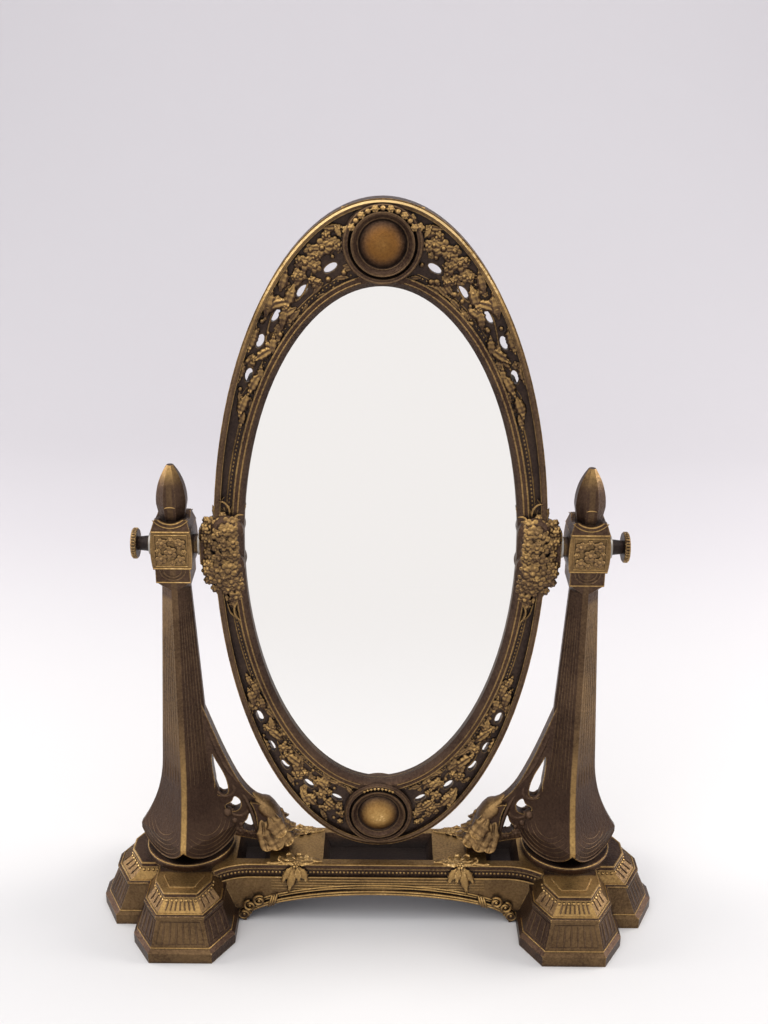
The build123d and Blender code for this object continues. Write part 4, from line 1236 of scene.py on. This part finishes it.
lugTrim = {
    # x and z from the frame's centre, lift over the band, size
    "roses": (
        (75, 16.4, 5, 4.6), (79.8, 16, 4, 4), (79.4, 11.2, 5.6, 4.8), (74, 11, 5.4, 4.6), (74, 3.8, 5.6, 5.2),
        (79.8, 4, 4.6, 4.4), (79.6, -1.4, 5.4, 4.8), (73.4, -2.2, 5.6, 4.4), (75.5, -7.9, 6.2, 5.4), (81, -8, 5, 4.8),
        (72.2, -10.4, 4.6, 4.2), (79.7, -13.6, 5.4, 4.8), (74.2, -14, 5.2, 4.6), (84.4, -13, 3.4, 4.2),
        (71.2, -18.2, 2.8, 4), (76.2, -19, 3.4, 4.4), (72.9, -23.9, 2.4, 4.4), (79.4, -22, 1.8, 3.4),
        (84.2, 11.4, 3.2, 4), (72.6, 7.6, 6.9, 3.6), (72.8, 13.6, 6.5, 3.7), (72, -5.8, 6, 3.5), (72, 0.8, 6.8, 3.5),
        (72.4, 17.6, 5, 3.4), (76.4, 13.8, 7, 3.8), (76.8, 6, 7.2, 3.6), (72.2, 10.6, 6.6, 3), (84.8, -7.6, 3, 4.4),
        (84.6, 4.6, 3, 4), (84.4, -2, 3, 4), (84, 16.4, 2.2, 3.8),
    ),
    "berries": (
        (86.6, 13.3, 2.6, 2.9), (87.2, 8.2, 2.4, 2.9), (84, 6.9, 3.2, 2.4), (86.6, -9.6, 2.4, 3),
        (86.9, -5.6, 2.2, 2.8), (84.8, -5, 2.6, 2.4), (86.4, -15.2, 1, 2.5), (86, 17, 0.6, 2.2),
        (82.6, -19.2, 1.6, 2.8), (77, 8, 6.6, 2), (77, 0.8, 6.2, 2), (72, 14.8, 2.6, 2.2), (70.2, -6, 2.4, 2.2),
        (77.6, -11.2, 6.4, 2), (70.4, -14.4, 2, 2.2), (77.6, 20.2, 1.8, 2.2), (86.4, 0.4, 1.8, 2.2),
        (74.4, -28, 0.8, 2.2), (77.2, -25.4, 0.8, 2.2), (71, 17.6, 1.2, 2),
    ),
    # x and z, length and heading
    "leaves": (
        (77.4, 18, 13, 0.1, 1), (73.4, 17, 9.5, -0.3, 1), (72, 20, 7, -0.8, 0.55), (80.8, 17, 8, 0.3, 1),
        (78, -22, 12.5, 0.02, -1), (74.6, -26, 15, -0.22, -1), (70.8, -26, 12, -0.34, -1), (71.6, -34, 11, -0.26, -1),
        (69.6, 19, 7, -0.55, 0.9),
    ),
    # x, lift over the band and z along each curled leaf edge and each stem
    "curls": (
        ((79.6, 2.4, 27.6), (76.4, 3.4, 27.4), (74.2, 3.6, 24.6), (74, 2.8, 20.4)),
        ((67.2, 2.2, 20.6), (70, 3, 20.9), (72.2, 3, 18.6), (72.6, 2.4, 15.6)),
        ((72, 1.8, -27), (73.6, 2.6, -30), (73, 2.6, -34), (70.4, 1.8, -37.6)),
    ),
    "stems": (
        ((79.4, 0.9, 20), (79, 0.9, 26), (76.4, 0.9, 29.6)),
        ((73.6, 0.9, 19), (72.8, 0.9, 24), (68.4, 0.9, 26)),
        ((75.4, 0.9, -27), (73, 0.9, -33), (71, 0.9, -40)),
        ((77.6, 0.9, -27), (75.4, 0.9, -33.6), (70, 0.9, -37.4)),
    ),
}


def lugFlowers(work):  # full flowers over each pivot with berries, leaves above and below, stems and curled edges
    trim = lugTrim

    def put(stamp, x, z, lift, size, dx=1.0, dz=0.0):
        lean = ((x - 77) * 0.05, -1, (z - 1) * 0.012)
        work.put(stamp, onFrame(x, mirror["bandY"] - lift, z), lean, size, (dx, 0, dz))

    for number, (x, z, lift, size) in enumerate(trim["roses"]):
        put("rose", x, z, lift - 0.9, (size, size, size * 0.95), math.cos(number * 1.7), math.sin(number * 1.7))
    for x, z, lift, size in trim["berries"]:
        put("berries", x, z, lift, (size, size, size * 1.1))
    for x, z, length, dx, dz in trim["leaves"]:
        put("leaf", x, z, 0.2, (length, length * 0.72, length * 0.5), dx, dz)
    for key, radius in (("curls", 0.6), ("stems", 0.62)):
        for run in trim[key]:
            line = [onFrame(x, mirror["bandY"] - lift, z) for x, lift, z in run]
            work.rod(smoothPath(line, 5), radius, ends=0.4)


addPiece("frameRim", "mirror", "rim", frameRim)
addPiece("frameLines", "mirror", "frameLines", frameLines)
addPiece("medallionRings", "mirror", "faint", medallionTrim)
addPiece("crownFlowers", "mirror", "goldLeaf", crownFlowers, sharp=60, grain=0.26)
for name, flora, seed, flips in (
    ("topRight", topFlora, 3, (1, 1, 1)), ("topLeft", topFlora, 5, (-1, 1, 1)),
    ("lowRight", lowFlora, 7, (1, 1, -1)), ("lowLeft", lowFlora, 9, (-1, 1, -1)),
):
    addPiece(name + "Flora", "mirror", "relief", bandFlora, flora, seed, flips=flips, sharp=60, grain=0.25)
for sideName, flips in sides:
    addPiece(sideName + "LugFlowers", "mirror", "lug", lugFlowers, flips=flips, sharp=60, grain=0.28)
print("frame done")

for stampObject in stamps.values():
    bpy.data.objects.remove(stampObject)


# Studio: pale sweep, soft lights, camera
studio = {
    "floorColour": (0.80, 0.787, 0.782), "wallColour": (0.69, 0.665, 0.69), "mirrored": (0.93, 0.90, 0.89),
    "wallY": 1.5, "wallHeight": 3.0, "wallBend": 0.7, "frontY": 3.0, "width": 6.0,
    "floorFade": (60.0, 620.0), "glowFade": (90.0, 420.0), "worldLight": 0.42,
    "worldColour": (0.88, 0.91, 1.0), "lampColour": (1.0, 0.97, 0.93),
    # lamps: place, height they aim at, size and power
    "lamps": {
        "keyLamp": ((-1.0, -1.1, 1.5), 0.15, 1.0, 6.0), "leftLamp": ((-1.3, 0.2, 0.75), 0.15, 0.8, 12.0),
        "rightLamp": ((1.3, 0.2, 0.75), 0.15, 0.8, 16.0),
    },
    "topLamp": ((0, -0.15, 1.5), 0.2, 1.2, 7.5),
    "camera": (0.0016, -0.5536, 0.4474), "down": 21.1, "roll": 0.5, "lens": 42.19, "sensor": 36.0,
}


def makeSweep():
    bpy.ops.mesh.primitive_plane_add(size=1, location=(0, 0, 0))
    sweep = bpy.context.object
    sweep.name = "sweep"
    sweep.scale = (studio["width"], studio["width"], 1)
    settle(sweep)
    shape(
        sweep,
        (lambda co: co.y > 0, (0, studio["wallY"] - studio["width"] / 2, 0), None),
        (lambda co: co.y < 0, (0, studio["width"] / 2 - studio["frontY"], 0), None),
    )
    makeActive(sweep)
    bpy.ops.object.mode_set(mode="EDIT")
    bpy.ops.mesh.select_mode(type="EDGE")
    bpy.ops.mesh.select_all(action="DESELECT")
    pick(sweep, lambda co: co.y > studio["wallY"] - 0.01)
    bpy.ops.mesh.extrude_region_move(TRANSFORM_OT_translate={"value": (0, 0, studio["wallHeight"])})
    bpy.ops.mesh.select_all(action="DESELECT")
    pick(sweep, lambda co: co.y > studio["wallY"] - 0.01 and co.z < 0.01)
    bpy.ops.mesh.bevel(offset=studio["wallBend"], segments=16)
    bpy.ops.object.mode_set(mode="OBJECT")
    bpy.ops.object.shade_smooth()
    paint = Paint("sweepPaper")
    # painted shade: the wall is tinted darker than the floor, for the light falling off up the backdrop
    tint = paint.mix(paint.axis(1).ramp(*studio["floorFade"]), studio["floorColour"], studio["wallColour"])
    look = {"Base Color": tint, "Roughness": 0.9, "Specular IOR Level": 0.1}
    paper = paint.add("ShaderNodeBsdfPrincipled", None, look)
    # in metal and glass the paper in front shows as even as the backdrop
    glow = paint.add("ShaderNodeEmission", None, {"Color": studio["mirrored"], "Strength": 1.0})
    inGlass = paint.ray("Is Glossy Ray").larger(paint.ray("Is Transmission Ray"))
    share = inGlass * paint.ahead().ramp(*studio["glowFade"])
    both = paint.add("ShaderNodeMixShader", None, {0: share, 1: paper, 2: glow})
    paint.add("ShaderNodeOutputMaterial", None, {0: both})
    sweep.data.materials.append(paint.material)


def makeLamp(name, place, aimZ, size, power, colour=(1, 1, 1)):
    bpy.ops.object.light_add(type="AREA", location=place)
    lamp = bpy.context.object
    lamp.name = name
    lamp.data.size = size
    lamp.data.energy = power
    lamp.data.color = colour
    lamp.rotation_euler = (Vector((0, 0, aimZ)) - Vector(place)).to_track_quat("-Z", "Y").to_euler()


def makeWorld():
    paint = Paint("studioWorld", bpy.data.worlds)
    bpy.context.scene.world = paint.material
    light = paint.add("ShaderNodeBackground", None, {0: studio["worldColour"], 1: studio["worldLight"]})
    seen = paint.add("ShaderNodeBackground", None, {0: studio["mirrored"], 1: 1.0})
    share = paint.ray("Is Camera Ray").larger(paint.ray("Is Glossy Ray")).larger(paint.ray("Is Transmission Ray"))
    both = paint.add("ShaderNodeMixShader", None, {0: share, 1: light, 2: seen})
    paint.add("ShaderNodeOutputWorld", None, {0: both})


def makeCamera():
    bpy.ops.object.camera_add(location=studio["camera"])
    camera = bpy.context.object
    camera.name = "photoCamera"
    tilt = Matrix.Rotation(math.radians(90 - studio["down"]), 4, "X")
    roll = Matrix.Rotation(math.radians(studio["roll"]), 4, "Z")
    camera.matrix_world = Matrix.Translation(studio["camera"]) @ tilt @ roll
    camera.data.sensor_fit = "VERTICAL"
    camera.data.sensor_height = studio["sensor"]
    camera.data.lens = studio["lens"]
    camera.data.clip_start = 0.01
    bpy.context.scene.camera = camera


makeSweep()
for name, (place, aimZ, size, power) in studio["lamps"].items():
    makeLamp(name, place, aimZ, size, power, studio["lampColour"])
makeLamp("topLamp", *studio["topLamp"])
makeWorld()
makeCamera()
bpy.context.scene.view_settings.view_transform = "Standard"
print("studio ready")
